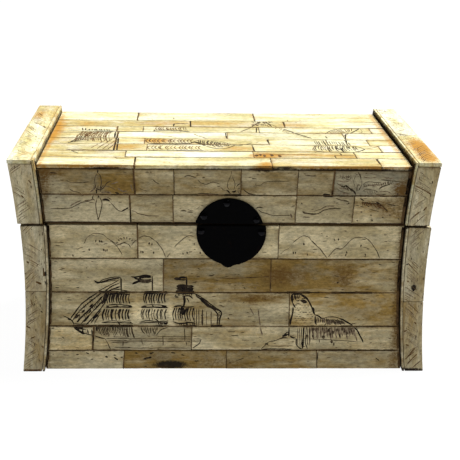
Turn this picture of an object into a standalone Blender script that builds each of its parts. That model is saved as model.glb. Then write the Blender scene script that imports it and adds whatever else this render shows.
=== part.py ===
"""Wooden chest clad with bone tiles, with waisted end boards and a lid that lifts off.

Metres, +Z up. The origin is under the middle of the lid, on the surface that the chest stands on.
+X runs along the chest and the front, with the round lock plate, faces -Y.
"""
import math

import bmesh
import bpy

MM = 0.001

# Overall sizes
LENGTH = 250 * MM        # over the end boards, at the top
DEPTH = 146 * MM         # over the front and back edges of the end boards
HEIGHT = 133 * MM        # to the top of the end boards
SEAM_HEIGHT = 94.1 * MM  # where the lid rests on the body
LID_SLIP = 1.4 * MM      # the lid sits this far to the left of the body

# End boards: each side is an arc about a waist, and the board is thinner at its foot
END_THICKNESS = 15.2 * MM       # at the top, with its bone
OUTER_WAIST_HEIGHT = 58 * MM
OUTER_RADIUS = 490 * MM
INNER_WAIST_HEIGHT = 70 * MM
INNER_RADIUS = 450 * MM         # in the lid
BODY_INNER_RADIUS = 520 * MM
WAIST_EXTRA = 0.45 * MM         # the body's end boards are this much thicker at the waist
PROUD = 3.3 * MM                # in front of and behind the panels
RISE = 3.4 * MM                 # above the top panel

# Bone
TILE = 2.2 * MM          # tiles of the front, back and top, and the facings and bands
END_TILE = 2.0 * MM      # tiles on the outer sides of the ends
STRIP = 1.4 * MM         # strips on the inner sides of the end boards
JOINT_WIDTH = 0.6 * MM   # groove between two tiles
JOINT_DEPTH = 0.7 * MM

# Wood
WALL = 8 * MM            # front and back boards
BOTTOM_BOARD = 8 * MM
TOP_BOARD = 8 * MM

# Clearances
GAP = 0.3 * MM           # glue line between two pieces
SEAM_GAP = 1.1 * MM      # between the bone of the lid and the bone of the body

# Lock plate
LOCK_RADIUS = 20.6 * MM
LOCK_BELOW_SEAM = 4.7 * MM  # from the seam down to the plate's centre
LOCK_X = 2.4 * MM           # from the middle of the lid or of the body to that of its half
LOCK_PLATE = 1.0 * MM
LOCK_RIM = 0.3 * MM         # rounding of the plate's edge
LOBE_DROP = 1.8 * MM        # lobe at the foot of the plate
LOBE_ANGLE = math.radians(14)
LOBE_TURN = math.radians(-5)
NAIL_RADIUS = 2.1 * MM
NAIL_DOME = 1.2 * MM
NAIL_INSET = 2.9 * MM       # from the plate's edge to a nail's centre
NAIL_SEAM_MARGIN = 0.3 * MM  # from a nail's head to the straight edge of its half
# Each nail: name, whether it is in the upper half, and its place as a part of the way round
# that half, from the right-hand end of the upper half's seam or the left-hand end of the lower's
NAILS = (
    ("right", True, 0.0),
    ("top", True, 0.54),
    ("left", True, 0.94),
    ("lower_left", False, 0.02),
    ("lower_right", False, 0.97),
)

# Tiling. Each row is (height, lengths of its tiles from left to right), from the lowest row up
# or from the front row back. Both are parts of the panel, which the rows fill.
BODY_FRONT_ROWS = (
    (12.6, (47, 63, 56, 52)),
    (16.1, (27, 60, 128)),
    (22.2, (144, 67)),
    (21.5, (67, 64, 78)),
    (21.3, (52, 83, 74)),
)
LID_FRONT_ROWS = (
    (17.3, (51, 25, 72, 34, 31)),
    (15.3, (55, 23, 39, 33, 21, 45)),
)
TOP_ROWS = (
    (18.2, (56, 80, 64, 18)),
    (15.0, (50, 77, 62, 30)),
    (16.2, (42, 20, 65, 47, 32, 12)),
    (14.8, (42, 18, 78, 37, 12, 14, 17)),
    (17.5, (42, 70, 75, 30)),
    (15.0, (41, 17, 76, 74, 10)),
    (17.5, (89, 63, 66)),
    (25.2, (53, 80, 85)),
)
BODY_BACK_ROWS = (
    (12, (60, 80, 70)),
    (16, (95, 115)),
    (23, (70, 75, 65)),
    (21, (100, 110)),
    (22, (65, 80, 65)),
)
LID_BACK_ROWS = (
    (17, (85, 65, 60)),
    (17, (55, 70, 85)),
)
BODY_END_ROW_HEIGHTS = (12.6, 16.1, 22.2, 21.5, 21.3)
LID_END_ROW_HEIGHTS = (17, 20)
END_ROW_JOINTS = ((-0.36, 0.34), (-0.05,))  # used in turn, as parts of the depth
# Joints in the bone of the end boards: in the top bands as parts of the depth, at the inner and
# the outer side, and in the body's facings as parts of the seam's height, front then back
BAND_JOINTS = {"left": (0.034, 0.185), "right": (-0.055, -0.034)}
FACING_JOINTS = {"left": (0.56, 0.50), "right": (0.492, 0.56)}

# Planes of the panels, from the sizes above
FACE_Y = DEPTH / 2 - PROUD
TILE_BACK_Y = FACE_Y - TILE
WALL_OUTER_Y = TILE_BACK_Y - GAP
WALL_INNER_Y = WALL_OUTER_Y - WALL
CORE_Y = DEPTH / 2 - TILE - GAP
TOP_Z = HEIGHT - RISE
TOP_TILE_Z = TOP_Z - TILE
TOP_BOARD_Z = TOP_TILE_Z - GAP
TOP_BOARD_UNDERSIDE_Z = TOP_BOARD_Z - TOP_BOARD
CORE_TOP_Z = HEIGHT - TILE - GAP
BODY_WOOD_Z = SEAM_HEIGHT - GAP / 2
LID_WOOD_Z = SEAM_HEIGHT + GAP / 2
BODY_BONE_Z = SEAM_HEIGHT - SEAM_GAP / 2
LID_BONE_Z = SEAM_HEIGHT + SEAM_GAP / 2
LOCK_Z = SEAM_HEIGHT - LOCK_BELOW_SEAM
LEVEL_STEP = 14 * MM     # an arc gets a level at least this often
PLATE_STEPS = 36         # round each half of the lock plate
DOME_SEGMENTS = 12
DOME_RINGS = 3


def clear_scene():
    for item in list(bpy.data.objects):
        bpy.data.objects.remove(item, do_unlink=True)


def make_material(name, colour, roughness, metallic=0.0):
    material = bpy.data.materials.new(name)
    material.use_nodes = True
    shader = material.node_tree.nodes["Principled BSDF"]
    shader.inputs["Base Color"].default_value = (*colour, 1.0)
    shader.inputs["Roughness"].default_value = roughness
    shader.inputs["Metallic"].default_value = metallic
    material.diffuse_color = (*colour, 1.0)
    return material


def make_places():
    """Empties in the middle of the lid and of the body, which carry their pieces."""
    for name, x in (("lid_place", 0.0), ("body_place", LID_SLIP)):
        place = bpy.data.objects.new(name, None)
        place.location.x = x
        bpy.context.scene.collection.objects.link(place)


def finish_object(name, mesh_points, faces, material):
    """Make an object of the lid or body from points and faces, with its faces turned outwards."""
    mesh = bpy.data.meshes.new(name)
    mesh.from_pydata(mesh_points, [], faces)
    shape = bmesh.new()
    shape.from_mesh(mesh)
    bmesh.ops.recalc_face_normals(shape, faces=shape.faces)
    shape.to_mesh(mesh)
    shape.free()
    mesh.materials.append(material)
    item = bpy.data.objects.new(name, mesh)
    on_body = name.startswith("body_") or "_lower" in name
    item.parent = bpy.data.objects["body_place" if on_body else "lid_place"]
    bpy.context.scene.collection.objects.link(item)
    return item


def loft(name, rings, material):
    """A closed body through rings of as many points each, with flat ends."""
    count = len(rings[0])
    points = [point for ring in rings for point in ring]
    faces = [tuple(range(count))]
    faces.append(tuple(range(len(points) - count, len(points))))
    for level in range(len(rings) - 1):
        for i in range(count):
            a = level * count + i
            b = level * count + (i + 1) % count
            faces.append((a, b, b + count, a + count))
    return finish_object(name, points, faces, material)


def levels_between(low, high):
    """Heights from low to high, close enough together for an arc."""
    steps = max(1, math.ceil((high - low) / LEVEL_STEP))
    return [low + (high - low) * i / steps for i in range(steps + 1)]


def bow(height, waist_height, radius):
    """How far out an arc stands at a height, measured from its waist."""
    return radius - math.sqrt(radius ** 2 - (height - waist_height) ** 2)


def outer_x(height):
    """Outer side of an end board, bone included."""
    top = bow(HEIGHT, OUTER_WAIST_HEIGHT, OUTER_RADIUS)
    return LENGTH / 2 - top + bow(height, OUTER_WAIST_HEIGHT, OUTER_RADIUS)


def inner_x(height):
    """Inner side of an end board, where it stands proud of the panels, bone included."""
    top = bow(HEIGHT, INNER_WAIST_HEIGHT, INNER_RADIUS)
    waist = LENGTH / 2 - END_THICKNESS - top
    if height < SEAM_HEIGHT:
        return waist - WAIST_EXTRA + bow(height, INNER_WAIST_HEIGHT, BODY_INNER_RADIUS)
    return waist + bow(height, INNER_WAIST_HEIGHT, INNER_RADIUS)


def strip_back_x(height):
    return inner_x(height) + STRIP


def core_inner_x(height):
    return inner_x(height) + STRIP + GAP


def core_outer_x(height):
    return outer_x(height) - END_TILE - GAP


def end_tile_x(height):
    return outer_x(height) - END_TILE


def panel_end_x(height):
    """Where the tiles of a panel stop, short of the end board."""
    return inner_x(height) - GAP


def shares(parts, low, high):
    """Positions of the joints that cut low to high into parts, ends included."""
    places = [low]
    for part in parts:
        places.append(places[-1] + (high - low) * part / sum(parts))
    return places


def row_section(reach, lengths, thickness):
    """Outline of a row of tiles as (x, depth below its face), with a V groove at each joint."""
    section = [(-reach, 0.0)]
    for x in shares(lengths, -reach, reach)[1:-1]:
        section.append((x - JOINT_WIDTH / 2, 0.0))
        section.append((x, JOINT_DEPTH))
        section.append((x + JOINT_WIDTH / 2, 0.0))
    section += [(reach, 0.0), (reach, thickness), (-reach, thickness)]
    return section


def upright_row(name, low, high, side, face_y, thickness, end_x, material, lengths=(1,)):
    """A board or row of tiles in the front (side -1) or back (side 1), between two heights."""
    rings = []
    for z in levels_between(low, high):
        section = row_section(end_x(z), lengths, thickness)
        rings.append([(x, side * (face_y - inward), z) for x, inward in section])
    return loft(name, rings, material)


def flat_row(name, near, far, face_z, thickness, reach, material, lengths=(1,)):
    """A board or row of tiles lying flat, from y = near to y = far."""
    section = row_section(reach, lengths, thickness)
    rings = [[(x, y, face_z - inward) for x, inward in section] for y in (near, far)]
    return loft(name, rings, material)


def grid_sheet(name, side, rows_y, rows_z, keep, near_x, far_x, material):
    """A sheet between two curved sides, made of the kept cells of a grid in Y and Z."""
    count_y = len(rows_y)
    count = count_y * len(rows_z)
    points = []
    for curve in (near_x, far_x):
        points += [(side * curve(z), y, z) for z in rows_z for y in rows_y]
    faces = []
    border = set()
    for k in range(len(rows_z) - 1):
        for j in range(count_y - 1):
            if not keep(j, k):
                continue
            a = k * count_y + j
            cell = (a, a + 1, a + 1 + count_y, a + count_y)
            faces.append(cell)
            faces.append(tuple(i + count for i in reversed(cell)))
            for edge in zip(cell, cell[1:] + cell[:1]):
                if edge[::-1] in border:
                    border.remove(edge[::-1])
                else:
                    border.add(edge)
    for a, b in sorted(border):
        faces.append((a, a + count, b + count, b))
    used = sorted({i for face in faces for i in face})
    place = {old: new for new, old in enumerate(used)}
    faces = [tuple(place[i] for i in face) for face in faces]
    return finish_object(name, [points[i] for i in used], faces, material)


def end_slab(name, side, reach_y, low, high, near_x, far_x, material):
    """A plate across an end, as deep as twice reach_y."""
    return grid_sheet(name, side, (-reach_y, reach_y), levels_between(low, high),
                      lambda j, k: True, near_x, far_x, material)


def end_cladding(name, side, low, high, row_heights, material):
    """The tiles of an end's outer side, behind its facings, with grooves between the tiles."""
    places = shares(row_heights, low, high)
    joints = sorted({joint for row in END_ROW_JOINTS for joint in row})

    def ring(z, row, sunk):
        outline = [(-CORE_Y, sunk)]
        for joint in joints:
            y = joint * DEPTH
            open_here = row is None or joint in END_ROW_JOINTS[row % len(END_ROW_JOINTS)]
            middle = JOINT_DEPTH if open_here else sunk
            outline += [(y - JOINT_WIDTH / 2, sunk), (y, middle), (y + JOINT_WIDTH / 2, sunk)]
        outline += [(CORE_Y, sunk)]
        face = [(side * (outer_x(z) - inward), y, z) for y, inward in outline]
        back = [(side * end_tile_x(z), y, z) for y in (CORE_Y, -CORE_Y)]
        return face + back

    rings = []
    for row, (start, end) in enumerate(zip(places, places[1:])):
        first = start if row == 0 else start + JOINT_WIDTH / 2
        last = end if row == len(row_heights) - 1 else end - JOINT_WIDTH / 2
        if row > 0:
            rings.append(ring(start, None, JOINT_DEPTH))
        rings += [ring(z, row, 0.0) for z in levels_between(first, last)]
    return loft(name, rings, material)


def facing(name, side, front, low, high, material, joint=None):
    """Bone over the front (front -1) or back (front 1) edges of an end board and its tiles."""
    rings = []
    marks = [(z, 0.0) for z in levels_between(low, high)]
    if joint is not None:
        marks = [mark for mark in marks if abs(mark[0] - joint) > JOINT_WIDTH]
        marks += [(joint - JOINT_WIDTH / 2, 0.0), (joint, JOINT_DEPTH),
                  (joint + JOINT_WIDTH / 2, 0.0)]
    for z, sunk in sorted(marks):
        near = side * core_inner_x(z)
        far = side * outer_x(z)
        face_y = front * (DEPTH / 2 - sunk)
        back_y = front * (DEPTH / 2 - TILE)
        rings.append([(near, face_y, z), (far, face_y, z), (far, back_y, z), (near, back_y, z)])
    return loft(name, rings, material)


def band(name, side, joint, material):
    """Bone along the top of an end board and its tiles, with one joint that may lie askew."""
    inner_joint, outer_joint = (share * DEPTH for share in joint)
    half = JOINT_WIDTH / 2
    marks = ((-DEPTH / 2, -DEPTH / 2, 0.0), (inner_joint - half, outer_joint - half, 0.0),
             (inner_joint, outer_joint, JOINT_DEPTH), (inner_joint + half, outer_joint + half, 0.0),
             (DEPTH / 2, DEPTH / 2, 0.0))
    under = HEIGHT - TILE
    rings = []
    for inner_y, outer_y, sunk in marks:
        over = HEIGHT - sunk
        rings.append([(side * core_inner_x(over), inner_y, over),
                      (side * outer_x(over), outer_y, over),
                      (side * outer_x(under), outer_y, under),
                      (side * core_inner_x(under), inner_y, under)])
    return loft(name, rings, material)


def lid_strip(name, side, material):
    """Bone strip on the inner side of a lid's end board, up the front, over and down the back."""
    rows_y = (-DEPTH / 2, -TILE_BACK_Y, TILE_BACK_Y, DEPTH / 2)
    rows_z = levels_between(LID_BONE_Z, TOP_TILE_Z) + [HEIGHT]
    last = len(rows_z) - 2
    return grid_sheet(name, side, rows_y, rows_z, lambda j, k: j != 1 or k == last,
                      inner_x, strip_back_x, material)


def lock_angle(upper, radius, margin, share):
    """Angle of a place part of the way round a half, which stops a margin short of the seam."""
    if upper:
        lift = math.asin((LID_BONE_Z + margin - LOCK_Z) / radius)
        start, end = lift, math.pi - lift
    else:
        lift = math.asin((BODY_BONE_Z - margin - LOCK_Z) / radius)
        start, end = math.pi - lift, 2 * math.pi + lift
    return start + (end - start) * share


def plate_outline(upper, inset):
    """Outline of a half of the lock plate, in X and Z, drawn in by inset."""
    radius = LOCK_RADIUS - inset
    outline = []
    for i in range(PLATE_STEPS + 1):
        angle = lock_angle(upper, radius, inset, i / PLATE_STEPS)
        off = abs(angle - (1.5 * math.pi + LOBE_TURN)) / LOBE_ANGLE
        drop = LOBE_DROP * math.cos(off * math.pi / 2) ** 2 if off < 1 and not upper else 0.0
        outline.append((LOCK_X + (radius + drop) * math.cos(angle),
                        LOCK_Z + (radius + drop) * math.sin(angle)))
    return outline


def lock_half(name, upper, material):
    """Half of the round lock plate, with its rim rounded by a chamfer."""
    back = FACE_Y + GAP
    rings = []
    for inset, out in ((0.0, 0.0), (0.0, LOCK_PLATE - LOCK_RIM), (LOCK_RIM, LOCK_PLATE)):
        outline = plate_outline(upper, inset)
        rings.append([(x, -(back + out), z) for x, z in outline])
    return loft(name, rings, material)


def nail(name, upper, share, material):
    """Domed nail head near the rim of the lock plate."""
    reach = LOCK_RADIUS - NAIL_INSET
    angle = lock_angle(upper, reach, NAIL_RADIUS + NAIL_SEAM_MARGIN, share)
    x = LOCK_X + reach * math.cos(angle)
    z = LOCK_Z + reach * math.sin(angle)
    base = FACE_Y + GAP + LOCK_PLATE + GAP
    rings = []
    for i in range(DOME_RINGS + 1):
        tilt = math.pi / 2 * i / (DOME_RINGS + 1)
        radius = NAIL_RADIUS * math.cos(tilt)
        out = NAIL_DOME * math.sin(tilt)
        turns = [2 * math.pi * k / DOME_SEGMENTS for k in range(DOME_SEGMENTS)]
        rings.append([(x + radius * math.cos(turn), -(base + out), z + radius * math.sin(turn))
                      for turn in turns])
    return loft(name, rings, material)


def make_boards(wood):
    """The wooden walls of the body and of the lid."""
    for name, side in (("front", -1), ("back", 1)):
        upright_row(f"body_{name}_board", 0.0, BODY_WOOD_Z, side, WALL_OUTER_Y, WALL,
                    strip_back_x, wood)
        upright_row(f"lid_{name}_board", LID_WOOD_Z, TOP_BOARD_UNDERSIDE_Z - GAP, side,
                    WALL_OUTER_Y, WALL, strip_back_x, wood)
    inside = WALL_INNER_Y - GAP
    flat_row("body_bottom_board", -inside, inside, BOTTOM_BOARD, BOTTOM_BOARD,
             strip_back_x(BOTTOM_BOARD), wood)
    flat_row("lid_top_board", -WALL_OUTER_Y, WALL_OUTER_Y, TOP_BOARD_Z, TOP_BOARD,
             strip_back_x(TOP_BOARD_UNDERSIDE_Z), wood)
    for name, side in (("left", -1), ("right", 1)):
        end_slab(f"body_end_board_{name}", side, CORE_Y, 0.0, BODY_WOOD_Z, core_inner_x,
                 core_outer_x, wood)
        end_slab(f"lid_end_board_{name}", side, CORE_Y, LID_WOOD_Z, CORE_TOP_Z, core_inner_x,
                 core_outer_x, wood)


def make_upright_rows(prefix, rows, low, high, side, bone):
    places = shares([height for height, lengths in rows], low, high)
    for number, (height, lengths) in enumerate(rows, start=1):
        start = places[number - 1] + (GAP / 2 if number > 1 else 0.0)
        end = places[number] - (GAP / 2 if number < len(rows) else 0.0)
        upright_row(f"{prefix}_{number}", start, end, side, FACE_Y, TILE, panel_end_x, bone,
                    lengths)


def make_top_rows(bone):
    places = shares([depth for depth, lengths in TOP_ROWS], -FACE_Y, FACE_Y)
    for number, (depth, lengths) in enumerate(TOP_ROWS, start=1):
        near = places[number - 1] + (GAP / 2 if number > 1 else 0.0)
        far = places[number] - (GAP / 2 if number < len(TOP_ROWS) else 0.0)
        flat_row(f"lid_top_row_{number}", near, far, TOP_Z, TILE, panel_end_x(TOP_TILE_Z), bone,
                 lengths)


def make_ends(bone):
    """The bone on the two end boards."""
    for end, side in (("left", -1), ("right", 1)):
        end_cladding(f"body_end_tiles_{end}", side, 0.0, BODY_BONE_Z, BODY_END_ROW_HEIGHTS, bone)
        end_cladding(f"lid_end_tiles_{end}", side, LID_BONE_Z, CORE_TOP_Z, LID_END_ROW_HEIGHTS,
                     bone)
        band(f"lid_band_{end}", side, BAND_JOINTS[end], bone)
        lid_strip(f"lid_strip_{end}", side, bone)
        for edge, front, share in zip(("front", "back"), (-1, 1), FACING_JOINTS[end]):
            joint = share * SEAM_HEIGHT
            facing(f"body_facing_{edge}_{end}", side, front, 0.0, BODY_BONE_Z, bone, joint)
            facing(f"lid_facing_{edge}_{end}", side, front, LID_BONE_Z, CORE_TOP_Z, bone)
            strip_edges = sorted((front * TILE_BACK_Y, front * DEPTH / 2))
            grid_sheet(f"body_strip_{edge}_{end}", side, strip_edges,
                       levels_between(0.0, BODY_BONE_Z), lambda j, k: True, inner_x,
                       strip_back_x, bone)


def make_lock(iron, nail_iron):
    lock_half("lock_plate_upper", True, iron)
    lock_half("lock_plate_lower", False, iron)
    for name, upper, share in NAILS:
        nail(f"lock_nail_{name}", upper, share, nail_iron)


def build():
    clear_scene()
    make_places()
    wood = make_material("carcass wood", (0.30, 0.17, 0.08), 0.7)
    front_bone = make_material("front bone", (0.50, 0.41, 0.25), 0.5)
    top_bone = make_material("top bone", (0.78, 0.66, 0.38), 0.45)
    edge_bone = make_material("edge bone", (0.58, 0.50, 0.33), 0.55)
    iron = make_material("black iron", (0.012, 0.012, 0.013), 0.45, 0.8)
    nail_iron = make_material("nail iron", (0.02, 0.02, 0.022), 0.3, 0.9)
    make_boards(wood)
    under_top = TOP_TILE_Z - GAP
    make_upright_rows("body_front_row", BODY_FRONT_ROWS, 0.0, BODY_BONE_Z, -1, front_bone)
    make_upright_rows("lid_front_row", LID_FRONT_ROWS, LID_BONE_Z, under_top, -1, front_bone)
    make_upright_rows("body_back_row", BODY_BACK_ROWS, 0.0, BODY_BONE_Z, 1, front_bone)
    make_upright_rows("lid_back_row", LID_BACK_ROWS, LID_BONE_Z, under_top, 1, front_bone)
    make_top_rows(top_bone)
    make_ends(edge_bone)
    make_lock(iron, nail_iron)


build()
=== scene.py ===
"""Looks of a wooden chest clad with bone tiles and scrimshaw drawings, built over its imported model.

Lengths are millimetres in the chest's own frame until a mesh or an object is made from them.
"""

import math
import random

import bmesh
import bpy
import numpy as np
from mathutils import Matrix, Vector, noise
from mathutils.geometry import delaunay_2d_cdt


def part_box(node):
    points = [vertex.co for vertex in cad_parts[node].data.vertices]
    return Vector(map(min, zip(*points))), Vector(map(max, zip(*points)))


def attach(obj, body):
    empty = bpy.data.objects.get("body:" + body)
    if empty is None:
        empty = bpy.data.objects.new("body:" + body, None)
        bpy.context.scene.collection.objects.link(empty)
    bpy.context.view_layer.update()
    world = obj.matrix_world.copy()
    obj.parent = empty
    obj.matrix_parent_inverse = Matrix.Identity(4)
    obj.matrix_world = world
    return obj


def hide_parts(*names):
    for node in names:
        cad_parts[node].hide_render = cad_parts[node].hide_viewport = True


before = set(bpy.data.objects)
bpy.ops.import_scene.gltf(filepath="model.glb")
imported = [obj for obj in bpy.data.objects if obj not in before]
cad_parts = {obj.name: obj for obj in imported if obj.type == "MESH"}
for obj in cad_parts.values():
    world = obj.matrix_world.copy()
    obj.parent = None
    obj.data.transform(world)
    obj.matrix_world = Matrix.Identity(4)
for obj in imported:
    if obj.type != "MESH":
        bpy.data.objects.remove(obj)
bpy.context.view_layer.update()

MM = 0.001
ROOT = "root"

# Camera: what the photograph's perspective gives, for a square picture of 460 pixels
PICTURE_PIXELS = 460
FOCAL_PIXELS = 1050
CAMERA_PITCH = math.radians(18.86)
CAMERA_YAW = math.radians(2.75)
CAMERA_ROLL = math.radians(1.16)
ORIGIN_IN_VIEW = Vector((-7.63, 62.99, 713.06))  # right of, below and ahead of the camera
SENSOR = 36.0

# Light
SUN_STRENGTH = 7.0
SUN_ANGLE = math.radians(32)
SUN_FROM = Vector((0.50, 0.30, 0.85))
SKY_STRENGTH = 0.07
FLOOR_GLOW = 0.98
FLOOR_SIZE = 60000

# Tiles
FRONT_SPACING = 1.1    # of the points on a tile's face
PLAIN_SPACING = 1.7    # the same on the sides that the photograph doesn't show
ROUNDING = 0.18        # of a tile's edges
SAMPLE = 0.6           # between the points of a drawn stroke
FILLER_DEPTH = 0.22    # of the dark filler in the joints, below the faces
LEFT_DIRT_AND_SHADE = {"body": 0.9, "lid": 1.1}    # width of the dark band by the end boards: dirt and painted shade, wider on the right, where the end board's shadow falls
RIGHT_DIRT_AND_SHADE = {"body": 1.5, "lid": 1.9}
SHARP_ANGLE = math.radians(24)    # between faces whose edge stays sharp
HALF_JOINT = 0.15      # half of a joint between two rows
DASH_OFFSET = 0.16     # from the middle of a joint to the ink beside it
STROKE_MARGIN = 0.08   # between a stroke and the edge of its tile
BAR_STEP = 1.5         # between the stations along a strip
BAR_ROUNDING = 0.25
OUTLINE_STEP = 1.2     # between the points of a tile's outline
CORNER = 0.5           # radius of its corners
POST_LOOK = {"grain_up": True, "rounding": 0.09, "lift": -0.03, "tilt": 0.0, "relief": 0.05,
             "ceiling": 0.0, "clean": 0.5}    # of the facings and bands

# What a face of a tile is made of, in the order of a piece's materials, and how deep the cuts are
BONE, FILLER, INK, PIT, SCRATCH, FADED, BROWN = range(7)
GROOVE = {FILLER: 0.12, INK: 0.10, PIT: 0.14, SCRATCH: 0.05, FADED: 0.06, BROWN: 0.06}


# Materials

class Graph:
    """Short names for the nodes that the materials are made of."""

    def __init__(self, name):
        self.material = bpy.data.materials.new(name)
        self.material.use_nodes = True
        self.tree = self.material.node_tree
        self.shader = self.tree.nodes["Principled BSDF"]

    def set(self, socket, value):
        if isinstance(value, bpy.types.NodeSocket):
            self.tree.links.new(value, socket)
        elif hasattr(value, "__len__") and len(value) == 3 and socket.type == "RGBA":
            socket.default_value = (*value, 1.0)
        else:
            socket.default_value = value

    def node(self, kind, inputs, output=0, **settings):
        node = self.tree.nodes.new(kind)
        for key, value in settings.items():
            setattr(node, key, value)
        for key, value in inputs.items():
            self.set(node.inputs[key], value)
        return node.outputs[output]

    def math(self, operation, a, b):
        return self.node("ShaderNodeMath", {0: a, 1: b}, operation=operation)

    def add(self, a, b):
        return self.math("ADD", a, b)

    def times(self, a, b):
        return self.math("MULTIPLY", a, b)

    def limit(self, value, most):
        """The value, kept between nothing and the most."""
        return self.math("MINIMUM", self.math("MAXIMUM", value, 0.0), most)

    def stretch(self, vector, factors):
        return self.node("ShaderNodeVectorMath", {0: vector, 1: factors}, operation="MULTIPLY")

    def dim(self, colour, factor):
        node = self.tree.nodes.new("ShaderNodeVectorMath")
        node.operation = "SCALE"
        self.set(node.inputs[0], colour)
        self.set(node.inputs["Scale"], factor)
        return node.outputs[0]

    def noise(self, vector, factors, detail=3.0, rough=0.55):
        return self.node("ShaderNodeTexNoise", {"Vector": self.stretch(vector, factors),
                                                "Scale": 1.0, "Detail": detail,
                                                "Roughness": rough})

    def cells(self, vector, factors, output):
        return self.node("ShaderNodeTexVoronoi", {"Vector": self.stretch(vector, factors),
                                                  "Scale": 1.0}, output)

    def fade(self, value, start, end, low=0.0, high=1.0):
        """From low to high as the value goes from start to end, in either direction."""
        return self.node("ShaderNodeMapRange",
                         {"Value": value, "From Min": start, "From Max": end, "To Min": low,
                          "To Max": high}, interpolation_type="SMOOTHSTEP")

    def mix(self, factor, a, b):
        return self.node("ShaderNodeMix", {0: factor, 6: a, 7: b}, 2, data_type="RGBA")

    def attribute(self, name, output):
        return self.node("ShaderNodeAttribute", {}, output, attribute_name=name)

    def position(self):
        return self.stretch(self.node("ShaderNodeTexCoord", {}, "Object"), (1 / MM,) * 3)

    def bump(self, height, distance, strength=1.0):
        """A height of 0 to 1 stands for the distance in millimetres."""
        normal = self.node("ShaderNodeBump", {"Height": height, "Distance": distance * MM,
                                              "Strength": strength})
        self.set(self.shader.inputs["Normal"], normal)

    def finish(self, colour, roughness, metallic=0.0, specular=0.5):
        self.set(self.shader.inputs["Base Color"], colour)
        self.set(self.shader.inputs["Roughness"], roughness)
        self.shader.inputs["Metallic"].default_value = metallic
        self.shader.inputs["Specular IOR Level"].default_value = specular
        return self.material


def make_bone(name, pale, plain, ochre, rust, cool):
    """Old bone: fibres and streaks along the grain, pores, stains, grime and painted shade, and dirt by the
    tiles' edges.
    """
    g = Graph(name)
    place = g.attribute("grain_place", "Vector")
    tone = g.node("ShaderNodeSeparateXYZ", {0: g.attribute("tile_tone", "Vector")}, 0).node
    warm, light, stain_and_shade = tone.outputs
    edge = g.attribute("tile_edge", "Fac")
    grime_and_shade = g.attribute("grime_and_shade", "Fac")
    broad = g.noise(place, (0.022, 0.10, 0.10), 4.0, 0.6)
    streak = g.noise(place, (0.040, 0.20, 0.20), 5.0, 0.65)
    fibre = g.noise(place, (0.12, 2.0, 2.0), 3.0, 0.6)
    speck = g.noise(place, (0.32, 0.62, 0.62), 7.0, 0.8)
    colour = g.mix(g.fade(broad, 0.38, 0.62), pale, plain)
    warmth = g.add(g.times(g.add(streak, -0.5), 2.8), g.add(g.times(warm, 1.15), -0.10))
    colour = g.mix(g.limit(warmth, 0.95), colour, ochre)
    # Greyer clouds, and tiles that are grey all over, whose warmth is less than nothing
    cloud = g.noise(place, (0.055, 0.085, 0.085), 4.0, 0.65)
    grey = g.add(g.fade(cloud, 0.46, 0.64, 0.0, 0.45), g.fade(warm, 0.0, -0.6, 0.0, 0.6))
    colour = g.mix(grey, colour, cool)
    colour = g.dim(colour, g.fade(fibre, 0.25, 0.75, 0.88, 1.09))
    colour = g.dim(colour, g.fade(speck, 0.34, 0.68, 1.20, 0.66))
    colour = g.dim(colour, g.fade(broad, 0.32, 0.68, 1.10, 0.88))
    colour = g.dim(colour, light)
    # Long pores, and a scatter of finer ones
    spot = g.cells(place, (0.22, 0.62, 0.62), "Distance")
    chance = g.node("ShaderNodeSeparateColor", {0: g.cells(place, (0.22, 0.62, 0.62), "Color")})
    large = g.times(g.fade(spot, 0.22, 0.07), g.fade(chance, 0.66, 0.76))
    fine = g.times(g.fade(g.cells(place, (0.6, 1.5, 1.5), "Distance"), 0.28, 0.10),
                   g.fade(speck, 0.50, 0.60))
    pores = g.math("MAXIMUM", large, g.times(fine, 0.75))
    colour = g.mix(g.times(pores, 0.75), colour, (0.070, 0.040, 0.018))
    # Stains and grime, both partly painted shade, broken up by the grain
    dust = g.noise(place, (0.55, 0.8, 0.8), 5.0, 0.8)
    uneven = g.times(g.add(dust, -0.5), 3.4)
    for amount, strength, cover in ((stain_and_shade, 1.4, rust), (grime_and_shade, 1.8, (0.012, 0.007, 0.003))):
        spread = g.times(g.add(g.times(amount, strength), uneven), g.fade(amount, 0.02, 0.3))
        colour = g.mix(g.limit(spread, 0.97), colour, cover)
    # Dirt by the edges
    near = g.times(g.fade(g.add(edge, uneven), 0.55, -0.1), g.fade(broad, 0.35, 0.6, 0.4, 1.0))
    halo = g.times(g.fade(edge, 3.0, 0.0), g.fade(broad, 0.45, 0.66))
    colour = g.mix(g.times(halo, 0.40), colour, rust)
    colour = g.mix(g.times(near, 0.60), colour, (0.080, 0.044, 0.018))
    rough = g.add(g.fade(speck, 0.3, 0.7, 0.54, 0.72), g.times(pores, 0.2))
    height = g.add(g.times(fibre, 0.35), g.times(speck, 0.6))
    g.bump(g.math("SUBTRACT", height, g.times(pores, 0.9)), 0.12, 0.8)
    return g.finish(colour, rough, specular=0.12)


def make_ink(name, dark, worn):
    """Pigment rubbed into the cut lines, thinner in places."""
    g = Graph(name)
    wear = g.noise(g.position(), (0.45, 0.45, 0.45), 4.0, 0.7)
    colour = g.mix(g.fade(wear, 0.40, 0.72), dark, worn)
    g.bump(wear, 0.05)
    return g.finish(colour, g.fade(wear, 0.3, 0.7, 0.6, 0.85), specular=0.06)


def make_pit():
    """Dirt in the open pores of the bone."""
    g = Graph("pore_dirt")
    uneven = g.noise(g.position(), (0.8, 0.8, 0.8), 4.0, 0.7)
    colour = g.mix(uneven, (0.045, 0.026, 0.013), (0.13, 0.085, 0.045))
    g.bump(uneven, 0.08)
    return g.finish(colour, 0.85, specular=0.15)


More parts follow.
